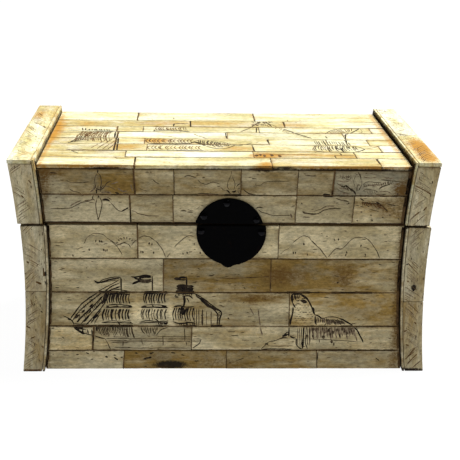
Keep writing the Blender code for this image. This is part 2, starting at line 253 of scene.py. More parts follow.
def make_scratch():
    """Saw marks and scratches with a little dirt in them."""
    g = Graph("scratch_dirt")
    uneven = g.noise(g.position(), (0.5, 0.5, 0.5), 4.0, 0.7)
    colour = g.mix(g.fade(uneven, 0.35, 0.65), (0.10, 0.062, 0.034), (0.30, 0.23, 0.14))
    g.bump(uneven, 0.06)
    return g.finish(colour, 0.75, specular=0.2)


def make_filler():
    """Dark wax and dirt in the joints."""
    g = Graph("joint_filler")
    uneven = g.noise(g.position(), (0.35, 0.35, 0.35), 4.0, 0.65)
    patch = g.noise(g.position(), (0.07, 0.07, 0.07), 3.0, 0.6)
    colour = g.mix(g.fade(g.add(g.times(uneven, 0.4), g.times(patch, 0.6)), 0.40, 0.60),
                   (0.010, 0.006, 0.003), (0.15, 0.088, 0.038))
    g.bump(uneven, 0.15)
    return g.finish(colour, g.fade(uneven, 0.3, 0.7, 0.7, 0.95), specular=0.05)


def make_wood():
    """Reddish brown softwood with darker late wood and open grain."""
    g = Graph("carcass_wood")
    place = g.position()
    swirl = g.noise(place, (0.010, 0.05, 0.05), 3.0)
    rings = g.node("ShaderNodeTexWave",
                   {"Vector": g.stretch(place, (0.012, 0.16, 0.16)), "Scale": 1.0,
                    "Distortion": 5.0, "Detail": 3.0, "Detail Scale": 1.4},
                   "Fac", bands_direction="DIAGONAL")
    fibre = g.noise(place, (0.05, 1.8, 1.8), 4.0, 0.65)
    colour = g.mix(rings, (0.17, 0.088, 0.042), (0.30, 0.175, 0.090))
    colour = g.dim(colour, g.fade(fibre, 0.25, 0.75, 0.72, 1.15))
    colour = g.mix(g.fade(swirl, 0.5, 0.75, 0.0, 0.5), colour, (0.09, 0.05, 0.028))
    g.bump(g.add(g.times(rings, 0.4), fibre), 0.12)
    return g.finish(colour, g.fade(fibre, 0.3, 0.7, 0.62, 0.82), specular=0.25)


def make_iron(name, colour, bright, roughness, metallic):
    """Blackened iron, rubbed bright in streaks, with a little rust."""
    g = Graph(name)
    place = g.position()
    patch = g.noise(place, (0.16, 0.16, 0.16), 5.0, 0.6)
    grain = g.noise(place, (1.6, 1.6, 1.6), 4.0, 0.7)
    scratch = g.noise(place, (0.10, 1.5, 2.6), 3.0, 0.7)
    mixed = g.mix(g.fade(scratch, 0.60, 0.78), colour, bright)
    mixed = g.mix(g.times(g.fade(patch, 0.60, 0.80), 0.4), mixed, (0.020, 0.008, 0.004))
    g.bump(g.add(g.times(patch, 0.8), g.times(grain, 0.4)), 0.12)
    return g.finish(mixed, g.fade(grain, 0.3, 0.7, roughness - 0.08, roughness + 0.12),
                    metallic, 0.015)


def make_floor_material():
    g = Graph("pale_floor")
    place = g.position()
    cloud = g.noise(place, (0.002, 0.002, 0.002), 3.0)
    colour = g.mix(cloud, (0.050, 0.050, 0.050), (0.056, 0.056, 0.055))
    g.shader.inputs["Emission Color"].default_value = (1.0, 1.0, 1.0, 1.0)
    g.shader.inputs["Emission Strength"].default_value = FLOOR_GLOW
    return g.finish(colour, 0.9, specular=0.0)


# The front's bone is a darker copy of the top's: painted shade on the front and painted light on the top,
# besides the front's own warmer stains
SHADED_FRONT_BONE = make_bone("front_bone", (0.67, 0.57, 0.345), (0.53, 0.43, 0.225),
                       (0.32, 0.195, 0.040), (0.135, 0.068, 0.012), (0.43, 0.385, 0.25))
LIT_TOP_BONE = make_bone("top_bone", (0.68, 0.65, 0.43), (0.60, 0.54, 0.26),
                     (0.50, 0.375, 0.130), (0.42, 0.205, 0.030), (0.68, 0.65, 0.54))
EDGE_BONE = make_bone("edge_bone", (0.62, 0.555, 0.37), (0.52, 0.44, 0.245),
                      (0.36, 0.250, 0.095), (0.16, 0.080, 0.026), (0.48, 0.43, 0.30))
WOOD = make_wood()
IRON = make_iron("black_iron", (0.0016, 0.0016, 0.0018), (0.005, 0.005, 0.006), 0.5, 0.0)
NAIL_IRON = make_iron("nail_iron", (0.007, 0.007, 0.008), (0.16, 0.16, 0.17), 0.16, 1.0)
JOINT_FILLER = make_filler()
SCRIMSHAW_INK = make_ink("scrimshaw_ink", (0.008, 0.006, 0.005), (0.060, 0.042, 0.026))
FADED_INK = make_ink("faded_ink", (0.045, 0.032, 0.018), (0.17, 0.125, 0.075))
BROWN_INK = make_ink("brown_ink", (0.080, 0.038, 0.012), (0.24, 0.145, 0.062))
PORE_DIRT = make_pit()
SCRATCH_DIRT = make_scratch()


# Drawing

def as_points(run):
    """A run is given as points or as plain numbers, two for each point."""
    return np.array(run, float).reshape(-1, 2)


def lengths_to(points):
    """How far along the run each point lies."""
    return np.r_[0, np.cumsum(np.linalg.norm(np.diff(points, axis=0), axis=1))]


def smooth_path(points):
    """A smooth curve through the points, sampled evenly."""
    points = as_points(points)
    if len(points) > 2:
        padded = np.vstack((2 * points[0] - points[1], points, 2 * points[-1] - points[-2]))
        t = np.linspace(0, 1, 12, endpoint=False)[:, None]
        pieces = []
        for a, b, c, d in zip(padded, padded[1:], padded[2:], padded[3:]):
            pieces.append(0.5 * (2 * b + (c - a) * t + (2 * a - 5 * b + 4 * c - d) * t ** 2
                                 + (3 * b - a - 3 * c + d) * t ** 3))
        points = np.vstack((*pieces, points[-1:]))
    lengths = lengths_to(points)
    count = max(2, int(round(lengths[-1] / SAMPLE)) + 1)
    even = np.linspace(0, lengths[-1], count)
    return np.stack([np.interp(even, lengths, points[:, k]) for k in (0, 1)], axis=1)


def along(points, share):
    """The place at a share of the way along a run of points."""
    points = as_points(points)
    lengths = lengths_to(points)
    return np.array([np.interp(share * lengths[-1], lengths, points[:, k]) for k in (0, 1)])


class Pen:
    """Strokes of a drawing: each is a path, its width at each point, and what fills it."""

    def __init__(self, seed, nib=1.0, slot=INK):
        self.random = random.Random(seed)
        self.nib = nib
        self.slot = slot
        self.strokes = []

    def curve(self, points, width=0.42, slot=None, wobble=0.16, taper=1.2, head=1.0):
        """A stroke, head times as wide at its start as at its end."""
        path = smooth_path(points)
        width = width * self.nib
        slot = self.slot if slot is None else slot
        shift = self.random.uniform(0, 900)
        for i, (u, v) in enumerate(path):
            path[i] += wobble * np.array((noise.noise((u / 3, v / 3, shift)),
                                          noise.noise((u / 3, v / 3, shift + 50))))
        run = np.arange(len(path)) * SAMPLE
        ends = np.clip(np.minimum(run, run[::-1]) / taper, 0.0, 1.0)
        press = np.array([1 + 0.5 * noise.noise((r / 4, shift, 0.0)) for r in run])
        press *= np.linspace(head, 1.0, len(path))
        self.strokes.append((path, width * press * (0.35 + 0.65 * ends), slot))

    def hatch(self, start, end, count, width=0.3, bow=0.0, uneven=0.1, slot=None):
        """Strokes from places along one run of points to places along another."""
        for i in range(count):
            share = (i + 0.5 + self.random.uniform(-0.3, 0.3)) / count
            a = along(start, share)
            b = a + (along(end, share) - a) * self.random.uniform(1 - uneven, 1)
            reach = b - a
            middle = (a + b) / 2 + bow * np.array((reach[1], -reach[0]))
            self.curve((a, middle, b), width * self.random.uniform(0.75, 1.3), slot)

    def lines(self, runs, slot=None, bold=9, **how):
        """Each run is its width and its places; from the bold width on it's black ink."""
        for width, *places in runs:
            self.curve(places, width, INK if width >= bold else slot, **how)

    def dashes(self, level, runs, slot=None):
        """Ink over the joint between two rows: where each dash starts and ends, and its width."""
        for left, right, width in runs:
            for side in (-DASH_OFFSET - width / 2, DASH_OFFSET + width / 2):
                beside = level + side
                self.curve((left, beside, (left + right) / 2, beside, right, beside), width, slot,
                           wobble=0.08)


def row_top(name):
    """Height of the joint above a row."""
    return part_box(name)[1].z / MM + HALF_JOINT


def draw_sail(pen, left, right, top, foot, count, width, head):
    """A square sail of bowed seams that are heavy at the head."""
    for i in range(count):
        u = left + (right - left) * (i + 0.5 + pen.random.uniform(-0.25, 0.25)) / count
        drift = pen.random.uniform(-0.9, 0.2)
        low = foot + (top - foot) * pen.random.uniform(0.0, 0.15)
        middle = (u + drift / 2 - 0.1 * (top - foot), (top + low) / 2)
        pen.curve(((u, top), middle, (u + drift, low)), width * pen.random.uniform(0.7, 1.3),
                  taper=0.5, head=head)


def draw_masthead(pen, mast, top, foot, flag):
    """The head of a mast with its flag, a list of strokes to the left of the mast."""
    pen.curve(((mast, top), (mast + 0.1, foot)), 0.9, wobble=0.05)
    pen.lines(flag)


def draw_ship(pen):
    """A three-masted ship under sail, heading left."""
    upper, lower = row_top("body_front_row_3"), row_top("body_front_row_2")
    draw_masthead(pen, -61.4, 60.2, 51.4, (
        (1, -61.6, 60, -65.5, 59.4, -69.5, 58.5, -73, 57.2, -75.6, 56.9, -77.4, 58.2),
        (0.6, -61.6, 60.5, -66, 60.4, -70.4, 59.3, -74, 57.8),
        (0.5, -64, 58.6, -69, 57.8, -73.4, 56.6)))
    draw_masthead(pen, -42.8, 61.4, 51.4, (
        (1.1, -43.2, 61.2, -47, 61.6, -50.2, 60.8, -54.8, 60.4),
        (1.5, -43.4, 60.4, -47, 60.6, -50, 60),
        (1, -43.2, 59, -46.5, 58.6, -50.5, 59.2, -53.6, 59.8),
        (1.3, -43.2, 58, -46.2, 57.2, -49.5, 57.9, -52.4, 57.2, -54.8, 55.9),
        (1.5, -49.4, 61, -50.6, 59, -51.6, 57.6)))
    draw_masthead(pen, -22.4, 60.8, 55, (
        (1.6, -22.6, 60.2, -25.4, 60.5, -27, 59.6, -29.8, 59.5),
        (0.9, -22.8, 59, -25, 58.9, -27.6, 58.8)))
    for level, width in ((58.4, 1.5), (57.4, 1)):
        pen.curve((-43.6, level, -47, level - 0.2, -50, level), width, FADED)
    pen.lines((
        (0.5, -62.4, 58.8, -68.6, 55, -75.2, 51.4), (0.7, -62, 56.8, -66.5, 54.8, -71, 51.6),
        (0.8, -61.8, 54.4, -65.4, 53.2, -69.4, 51.4), (0.8, -61.8, 52.6, -66, 52.2),
        (0.6, -57, 51.5, -62, 52.3)))
    pen.dashes(upper, (
        (-74.6, -63, 0.9), (-62.8, -55.8, 0.7), (-47.6, -33.8, 0.8), (-55.8, -47.6, 0.2),
        (-33.8, -28.6, 0.2), (-28.6, -17.6, 0.6), (-17.4, -8, 0.45), (-8, 1, 0.3),
        (-100.4, -95.4, 0.5), (-84.4, -79.6, 0.4), (-95, -85, 0.15)))
    pen.dashes(lower, (
        (-91, -76, 0.9), (-76, -54.4, 0.9), (-50.6, -42, 0.45), (-42, -33, 0.6),
        (-24.6, -16.2, 0.8), (-7.6, -0.4, 0.9), (-33, -24.6, 0.25), (-16.2, -7.6, 0.3),
        (-54.4, -50.6, 0.3)))
    # Sails of the foremast
    pen.lines((
        (1.7, -69.8, 51.9, -71.2, 47.6, -73, 43), (1.1, -68.8, 50.2, -70.4, 46.4, -71.6, 42.8),
        (0.9, -69, 49.4, -63, 49.7, -56.2, 49.3)))
    draw_sail(pen, -69.8, -56, 50, 43, 10, 0.72, 1.6)
    pen.lines((
        (0.6, -69.6, 42.4, -63, 42.8, -55.4, 41.9), (0.9, -70.8, 40.8, -62.8, 41.2, -54.9, 41),
        (1.3, -70.6, 41.8, -68.4, 40.7), (1.2, -57.4, 42.1, -54.8, 41),
        (0.9, -64.4, 42.5, -62.8, 41)))
    draw_sail(pen, -72.2, -56.2, 39.9, 32, 11, 0.5, 2)
    pen.lines((
        (0.4, -73.4, 31, -66, 32.2, -62.4, 31.4, -55.8, 32.5),
        (0.6, -73, 30.8, -64, 31, -54.6, 30.6), (0.9, -63.6, 31.2, -62.2, 29.4),
        (0.7, -56.6, 31.6, -54.6, 30)))
    # Sails of the mainmast
    draw_sail(pen, -48.4, -34.2, 50.1, 43.2, 9, 0.52, 1.8)
    pen.lines((
        (0.6, -47.6, 49.8, -41, 49.9, -34.6, 49.7), (0.5, -48, 42.3, -41, 42.7, -34.2, 42),
        (0.8, -49.8, 40.8, -42, 41.1, -33.6, 40.8), (1.3, -49.4, 41.2, -46.2, 41.5),
        (1.4, -37.2, 41.9, -33.6, 40.8), (0.9, -43, 42.6, -41.8, 40.8)))
    draw_sail(pen, -49.8, -33.6, 39.9, 32.6, 10, 0.45, 1.8)
    pen.lines((
        (0.5, -50.6, 31.2, -45.4, 32.4, -40.4, 31.8, -33.4, 32),
        (0.7, -50.8, 30.6, -43, 31.2, -33.4, 30.8), (0.7, -41.4, 33.6, -39.2, 32)))
    pen.hatch((-39.4, 31.6, -33.2, 31.8), (-39, 29.2, -34.4, 29.2), 7, 0.7)
    # Mizzen mast
    pen.lines((
        (1.7, -28.4, 54.8, -23.2, 55, -18, 54.7), (1.1, -28.6, 53.4, -23.2, 53.6, -18, 53.2),
        (1.2, -28.8, 51.7, -23, 51.8, -17.8, 51.6), (0.9, -28.8, 50.2, -23, 50, -17.6, 50.2),
        (1.1, -28.6, 49.4, -29, 48.2, -27, 47.6), (0.8, -25, 48, -21, 48.6, -18.4, 46.8),
        (1.2, -24, 48.6, -23.4, 45, -24.2, 41.2), (0.7, -22.2, 47.4, -21.2, 45.6, -20.8, 44.2),
        (0.8, -30, 41.4, -26.4, 42, -22.4, 41.2, -17.6, 41.6),
        (2.3, -25.2, 41.4, -24.6, 38.8, -24.2, 36), (1.1, -26, 40.4, -23.4, 38.2, -22.6, 40.4),
        (0.9, -30.4, 31.6, -26.2, 30.4, -20, 31.2, -16.8, 30.4)))
    pen.hatch((-28.2, 54.6, -18.2, 54.6), (-28.4, 51.2, -18.2, 51.2), 9, 1.15)
    pen.hatch((-28.2, 50.2, -18.6, 50.2), (-27.8, 48.4, -19, 48.6), 8, 0.7)
    draw_sail(pen, -30, -17.4, 40.8, 32, 9, 0.55, 1.5)
    pen.hatch((-27.4, 31, -16.8, 30.8), (-27, 29.2, -16.4, 29.2), 8, 0.8)
    # Spanker
    outer = ((-17.6, 50.2), (-12.8, 47.2), (-9, 44.2), (-5.4, 41.2), (-1.7, 38.6), (-1.1, 36.8),
             (-2, 34), (-2.4, 31.4), (-2.3, 29.2))
    inner = ((-16.6, 48.6), (-12.6, 45.2), (-9.8, 42), (-6, 39.8), (-3.8, 37.2), (-3.3, 34),
             (-3.6, 29.2))
    pen.curve(outer, 0.8)
    pen.curve(inner, 0.65)
    pen.lines((
        (1.9, -14, 47, -11.4, 44.5, -9.2, 42.4), (1.4, -9.4, 42.6, -6.8, 40.8, -3.8, 39.4)))
    pen.hatch(outer[:5], inner[:4], 20, 0.6)
    pen.hatch(outer[4:], inner[4:], 9, 0.5)
    for u, top, width in ((-17.6, 41, 0.5), (-16.2, 40.2, 0.5), (-14.8, 40, 0.5),
                          (-12.7, 39.8, 0.9), (-10.2, 38.8, 0.4), (-7.4, 38.4, 0.5)):
        pen.curve((u, top, u + 0.1, 29.2), width, FADED)
    # Headsails and bowsprit
    pen.lines((
        (0.8, -75.6, 50.3, -82, 45.8, -87, 40.8, -92, 33.4),
        (0.7, -73.2, 50.2, -80, 44.6, -86.4, 38.6, -91, 32.2),
        (0.9, -72.4, 48.2, -78, 42, -84.5, 35.5, -88.3, 31),
        (0.8, -72, 45.6, -76.5, 40.5, -82, 34.5, -86, 30),
        (0.8, -71.8, 43.2, -75, 38.5, -79.5, 33.2, -82.6, 29.6),
        (0.7, -73.4, 39.2, -77, 34.5, -80.2, 30.4), (0.5, -74.6, 36, -76.6, 32.8, -77.8, 30),
        (1.4, -78.4, 43.2, -80.6, 41), (1.3, -83.2, 39.4, -85.4, 37.2),
        (1.1, -79.6, 39, -81.4, 36.8), (1.3, -75.4, 36.4, -78.6, 33.4),
        (1, -86.4, 36.4, -88.6, 33.6), (0.9, -80.6, 35.4, -84, 31.4),
        (0.5, -89.6, 32.8, -87.8, 35.8, -86.4, 35.2, -87.6, 32.6),
        (0.8, -96.4, 35.4, -93, 33.6, -91.2, 32.2, -90, 29.6), (1, -94, 33.4, -91.4, 32.4),
        (0.5, -90.4, 30.4, -86, 29.9, -81, 30.2)))
    pen.hatch((-75, 50, -86, 40.8), (-73.4, 48.8, -85.6, 38), 9, 0.5)
    pen.hatch((-72.8, 47.4, -84, 35.6), (-72.2, 44.4, -83.4, 33.4), 12, 0.6, 0, 0.5)
    # Bow
    pen.lines((
        (1.5, -90.2, 28.1, -88, 26.2, -85.2, 24.2, -83.6, 23.9),
        (0.7, -83.8, 24, -82, 23.4, -78.4, 22.4, -74.6, 21, -71.4, 20.2),
        (1, -79.4, 26.4, -79.3, 20, -79.2, 12.8), (0.9, -89.4, 27.8, -86.4, 27, -82.8, 26.4),
        (1.6, -87, 27.9, -84.6, 27), (1.5, -84.8, 26.4, -85, 24.4), (0.7, -82, 26.6, -81.6, 23.6)))
    pen.hatch((-78.6, 28, -74, 28), (-78.4, 24.6, -74, 25.6), 4, 0.8)
    # Courses and hull, whose lines are thin and faded
    pen.hatch((-77, 27.8, -55.2, 27.8), (-74.4, 21.2, -54.6, 20.8), 21, 0.55, 0.04, 0.5, FADED)
    pen.hatch((-76, 28, -55, 28), (-75.4, 25.4, -54.8, 25.2), 15, 0.55, 0, 0.6)
    pen.hatch((-50, 28, -38.6, 28), (-47.6, 23.4, -40, 22.6), 9, 0.5, 0.08, 0.5)
    pen.hatch((-48, 25.4, -39.8, 25.4), (-46.8, 22.8, -40.2, 21.8), 5, 0.55, 0, 0.5, FADED)
    pen.lines((
        (0.45, -33.6, 28, -38, 26, -40.4, 22.4), (0.6, -13.3, 19.9, -14.4, 17, -18.8, 13.5)))
    pen.lines((
        (0.55, -71.6, 20.2, -70.2, 17.6, -68.9, 14.2, -68.2, 13.2),
        (0.45, -71, 20.5, -45, 20.2, -13.6, 20.1), (0.6, -68.8, 18.8, -42, 18.7, -13.2, 18.7),
        (0.4, -67, 21.6, -60, 21.4, -56.2, 21.6), (0.9, -55.6, 28, -54.8, 24, -53.8, 20.6),
        (0.9, -60.6, 18.6, -60.8, 15.2), (0.5, -49.4, 20, -49, 16.4),
        (0.5, -23.4, 27.4, -23.2, 18.8), (0.5, -22.4, 18.4, -22, 15.8),
        (0.5, -68, 17.9, -62, 17.6, -57, 17.9), (0.5, -36.6, 22.6, -36.4, 15.6),
        (0.5, -66, 14.4, -50, 14, -36, 14.2, -19.4, 14), (0.4, -40, 22, -28, 21.6, -19.4, 21.8)), FADED)


def draw_seal(pen):
    """A seal that rests on a rock and looks up to the left."""
    upper, lower = row_top("body_front_row_3"), row_top("body_front_row_2")
    pen.dashes(upper, (
        (38, 52, 0.7), (52, 66, 0.45), (65, 90, 0.7), (90, 106, 0.4), (12, 38, 0.25)))
    pen.dashes(lower, (
        (0, 14, 0.35), (14, 31, 0.25), (31, 40, 0.35), (40.8, 52, 0.5), (52, 70, 0.5),
        (70, 80, 0.6)))
    pen.dashes(row_top("body_front_row_1"), (
        (59, 80, 0.7), (80, 106, 0.6), (24, 58, 0.3), (-24, 16, 0.15)))
    pen.curve((58.7, 11.8, 58.6, 6, 58.6, 0.6), 0.5)
    pen.lines((
        # Brow and muzzle
        (1.2, 41.4, 50, 41.2, 47.4, 41.6, 44.2), (0.9, 41.6, 44.6, 42.6, 42.6, 43.6, 40.8),
        (0.9, 43, 49.8, 42.8, 47.8, 43.6, 46), (1.1, 41.6, 49.8, 44, 49.9, 46.4, 49.8),
        (0.8, 44, 45.9, 45, 45.4, 46, 46.2),
        (1.1, 45.8, 50, 48.6, 48.4, 51.2, 45.8, 53.3, 41.8, 54.8, 38.2, 55.6, 36.3),
        (0.6, 46.4, 49.6, 49, 47.4, 51.4, 46.4),
        # Eye and mouth
        (1.7, 46.4, 45.6, 48.2, 45.4, 50.4, 44.9), (0.9, 47.2, 44.6, 49.2, 44.2, 51, 44.2),
        (0.5, 43, 42.6, 45, 43.6, 46.8, 43),
        # Chest
        (0.95, 42.2, 41.4, 42, 37, 41.2, 33, 40.9, 29.4), (1.3, 54.2, 41.4, 55, 38.6),
        # Back
        (0.95, 55.6, 36.4, 58, 35.4, 59.6, 34, 61.6, 34),
        (0.6, 61.6, 34, 64, 34.8, 68, 34.8, 71, 33.8),
        (1, 70.6, 33.9, 74, 32.4, 77, 30.6, 79.4, 29.3),
        (0.8, 79.8, 28, 82, 26.2, 84.3, 22, 86.3, 17.8),
        # Shoulder
        (1.1, 56, 35.8, 56.2, 31.6, 57, 29.6), (0.8, 59.2, 34, 59.4, 31.2),
        (1.2, 61.4, 34, 62, 31.6), (1.1, 62.6, 30.6, 62, 29.2),
        (0.9, 69.4, 33.4, 71, 31.2, 72, 29.4),
        # Flippers
        (1.1, 49.3, 28.2, 49.2, 20, 49, 13.6), (0.8, 45, 20.4, 45.2, 16.6, 47, 14.2, 49, 13.4),
        (0.6, 50.8, 28.2, 50.7, 18, 52.2, 13.6), (0.9, 40.3, 28.2, 40.2, 21.8),
        (0.8, 36.2, 21.2, 39.6, 24.8, 40.3, 22), (0.9, 34.6, 20.4, 37, 20.9, 39.8, 20.9),
        (1, 40.8, 22.4, 42.4, 21.2, 44.4, 20.8),
        # Rock
        (0.5, 35, 20.2, 32, 19, 28.4, 18.2, 26.4, 16.2, 23.6, 13.2),
        (1.6, 36.2, 22.6, 38, 22.4, 39.8, 23.4), (1.5, 26, 16.8, 28, 16.6)))
    pen.hatch((52.6, 28.2, 80.6, 28.2), (52.8, 17.6, 83.6, 18.4), 15, 1, 0.02, 0.5, SCRATCH)
    pen.hatch((57, 34.4, 74, 31.6), (58, 29.6, 76, 29.4), 9, 1.1, 0, 0.4, SCRATCH)
    pen.hatch((41.2, 48.8, 46.2, 49.4), (41.8, 45, 45.4, 46.4), 5, 0.6, 0, 0.5)
    for row in range(9):
        for k in range(6):
            u = 43.2 + 1.9 * k + 0.9 * (row % 2)
            v = 42.4 - 1.4 * row
            if u < 52 + 0.35 * row and pen.random.random() < 0.6:
                pen.curve(((u, v), (u + 0.7, v - 0.3), (u + 1.3, v)), 0.4, FADED, taper=0.4)
    pen.hatch((57, 34.8, 62, 33.4), (57.4, 30, 63, 29.4), 6, 0.5, 0.1, 0.4, FADED)
    pen.hatch((62.6, 34, 72, 32.6), (63.4, 29.4, 76, 29.4), 14, 0.6, 0, 0.3, FADED)
    pen.hatch((52, 28, 80, 28), (52.4, 21.4, 82, 20.4), 24, 0.8, 0.03, 0.6, SCRATCH)
    pen.hatch((53.4, 28, 79, 28), (53.6, 23.4, 80.6, 22.8), 13, 0.6, 0.03, 0.8, FADED)
    for u, v, width in ((51.4, 22, 1.5), (54.9, 21.8, 0.9), (61.4, 21.4, 1.5), (55, 26.4, 1),
                        (64.6, 25.8, 1.2), (67.2, 24.6, 1.6), (69.4, 26, 1.2), (65.6, 23.2, 1.3),
                        (71.4, 22.4, 1.1), (63, 27.4, 1), (75.8, 24, 0.9), (66.8, 18.2, 1.6),
                        (68.2, 16.6, 1.2), (59, 18.8, 0.7), (72.8, 26.6, 1)):
        pen.curve((u, v + 1.2, u + 0.2, v - 1), width, FADED, taper=0.5)
    for u in (45.6, 46.6, 47.8, 51.6, 52.8):
        pen.curve(((u, 27.8), (u + 0.2, 21), (u + 0.4, 16)), 0.45, FADED)
    pen.lines((
        (0.6, 24, 13.3, 33, 13.4, 43, 13.3), (0.35, 27.6, 15.6, 34, 15.2, 43, 15.8),
        (0.4, 53, 20.2, 62, 19.8, 72, 19.2, 82, 18.4)))
    pen.lines((
        (0.8, 21, 40, 21.8, 34, 22.6, 29.4), (0.8, 16, 41, 18.4, 36.4),
        (0.8, 22.4, 28, 23.4, 25.2, 24.2, 22.4)), SCRATCH)


def draw_landscape(pen):
    """A row of hills across the upper body, with a low sun between two of them."""
    pen.lines((
        (0.34, -82.8, 81.4, -80.6, 85.6, -77, 87.8, -72.4, 87.6, -69.4, 85.4),
        (0.45, -69.4, 85.4, -66, 82.4, -63.4, 79.8, -61.4, 76.4, -60.4, 74.4),
        (0.4, -68.6, 84.6, -64.4, 82, -60.6, 80.6),
        (0.5, -63.6, 80.6, -60, 82, -56.8, 81.4, -55.4, 79.4),
        (0.42, -55, 80.6, -52, 84, -48.4, 86.4, -44.6, 86, -41, 83.6),
        (0.45, -41, 83.6, -37.6, 79.6, -35.8, 75.8, -34.8, 73), (0.3, -34.4, 73.2, -32, 76),
        (0.42, -29.6, 79.6, -26.2, 83.4, -23, 86, -20.4, 86.8, -17.8, 86),
        (0.4, -87, 77.8, -85, 79, -83.4, 79), (0.34, 33.4, 75.4, 36, 78, 38.6, 79.6),
        (0.42, 40.6, 82.4, 43, 85, 46.2, 86.8, 49.4, 86.4, 51.2, 84.2),
        (0.6, 51.2, 84.2, 54, 81.4, 57, 78.6, 59.5, 75.4, 61.2, 73),
        (0.42, 61.6, 73.4, 64, 76.4, 66.2, 79, 68.5, 78.9),
        (0.7, 66.2, 79.2, 68.5, 78.8, 70.5, 79.2),
        (0.42, 70.5, 79.4, 73, 82, 75.5, 85, 79, 86.4, 82.5, 86.2),
        (0.45, 82.5, 86.2, 85.5, 84.6, 88.5, 81, 91, 77, 93, 73), (0.5, -100, 80, -96.8, 80.1),
        (0.4, -100.2, 82, -94.6, 82.1)), wobble=0.3)
    for k in range(8):
        turn = math.radians(20 + 20 * k)
        a = (-58.4 + 4.4 * math.cos(turn), 81 + 3.6 * math.sin(turn))
        b = (-58.4 + 5.8 * math.cos(turn), 81 + 5 * math.sin(turn))
        pen.curve((a, b), 0.7, taper=0.4)
    for u, v in ((-75.6, 84), (-73.8, 83.8), (-72.6, 83.6), (-79.8, 78.4), (-71.4, 78.4),
                 (-70.4, 78), (-69.2, 78.2), (-89.6, 74.8), (-44.4, 82.6), (-42.8, 82.2),
                 (-49.4, 77.4), (-48.4, 77.2), (-41.8, 76.8), (-22.2, 76.8), (-24.6, 76.2),
                 (-14.4, 76.8), (-18, 82.4), (41, 77), (42.2, 77), (49.4, 76), (84, 76),
                 (81.4, 81.6), (72.8, 77.4), (72.6, 75.8), (64.8, 85.4), (67.6, 85.6), (46.8, 82.6)):
        pen.curve((u, v, u + pen.random.uniform(-0.4, 0.5), v - 1.5), 0.85, wobble=0.05, taper=0.5)


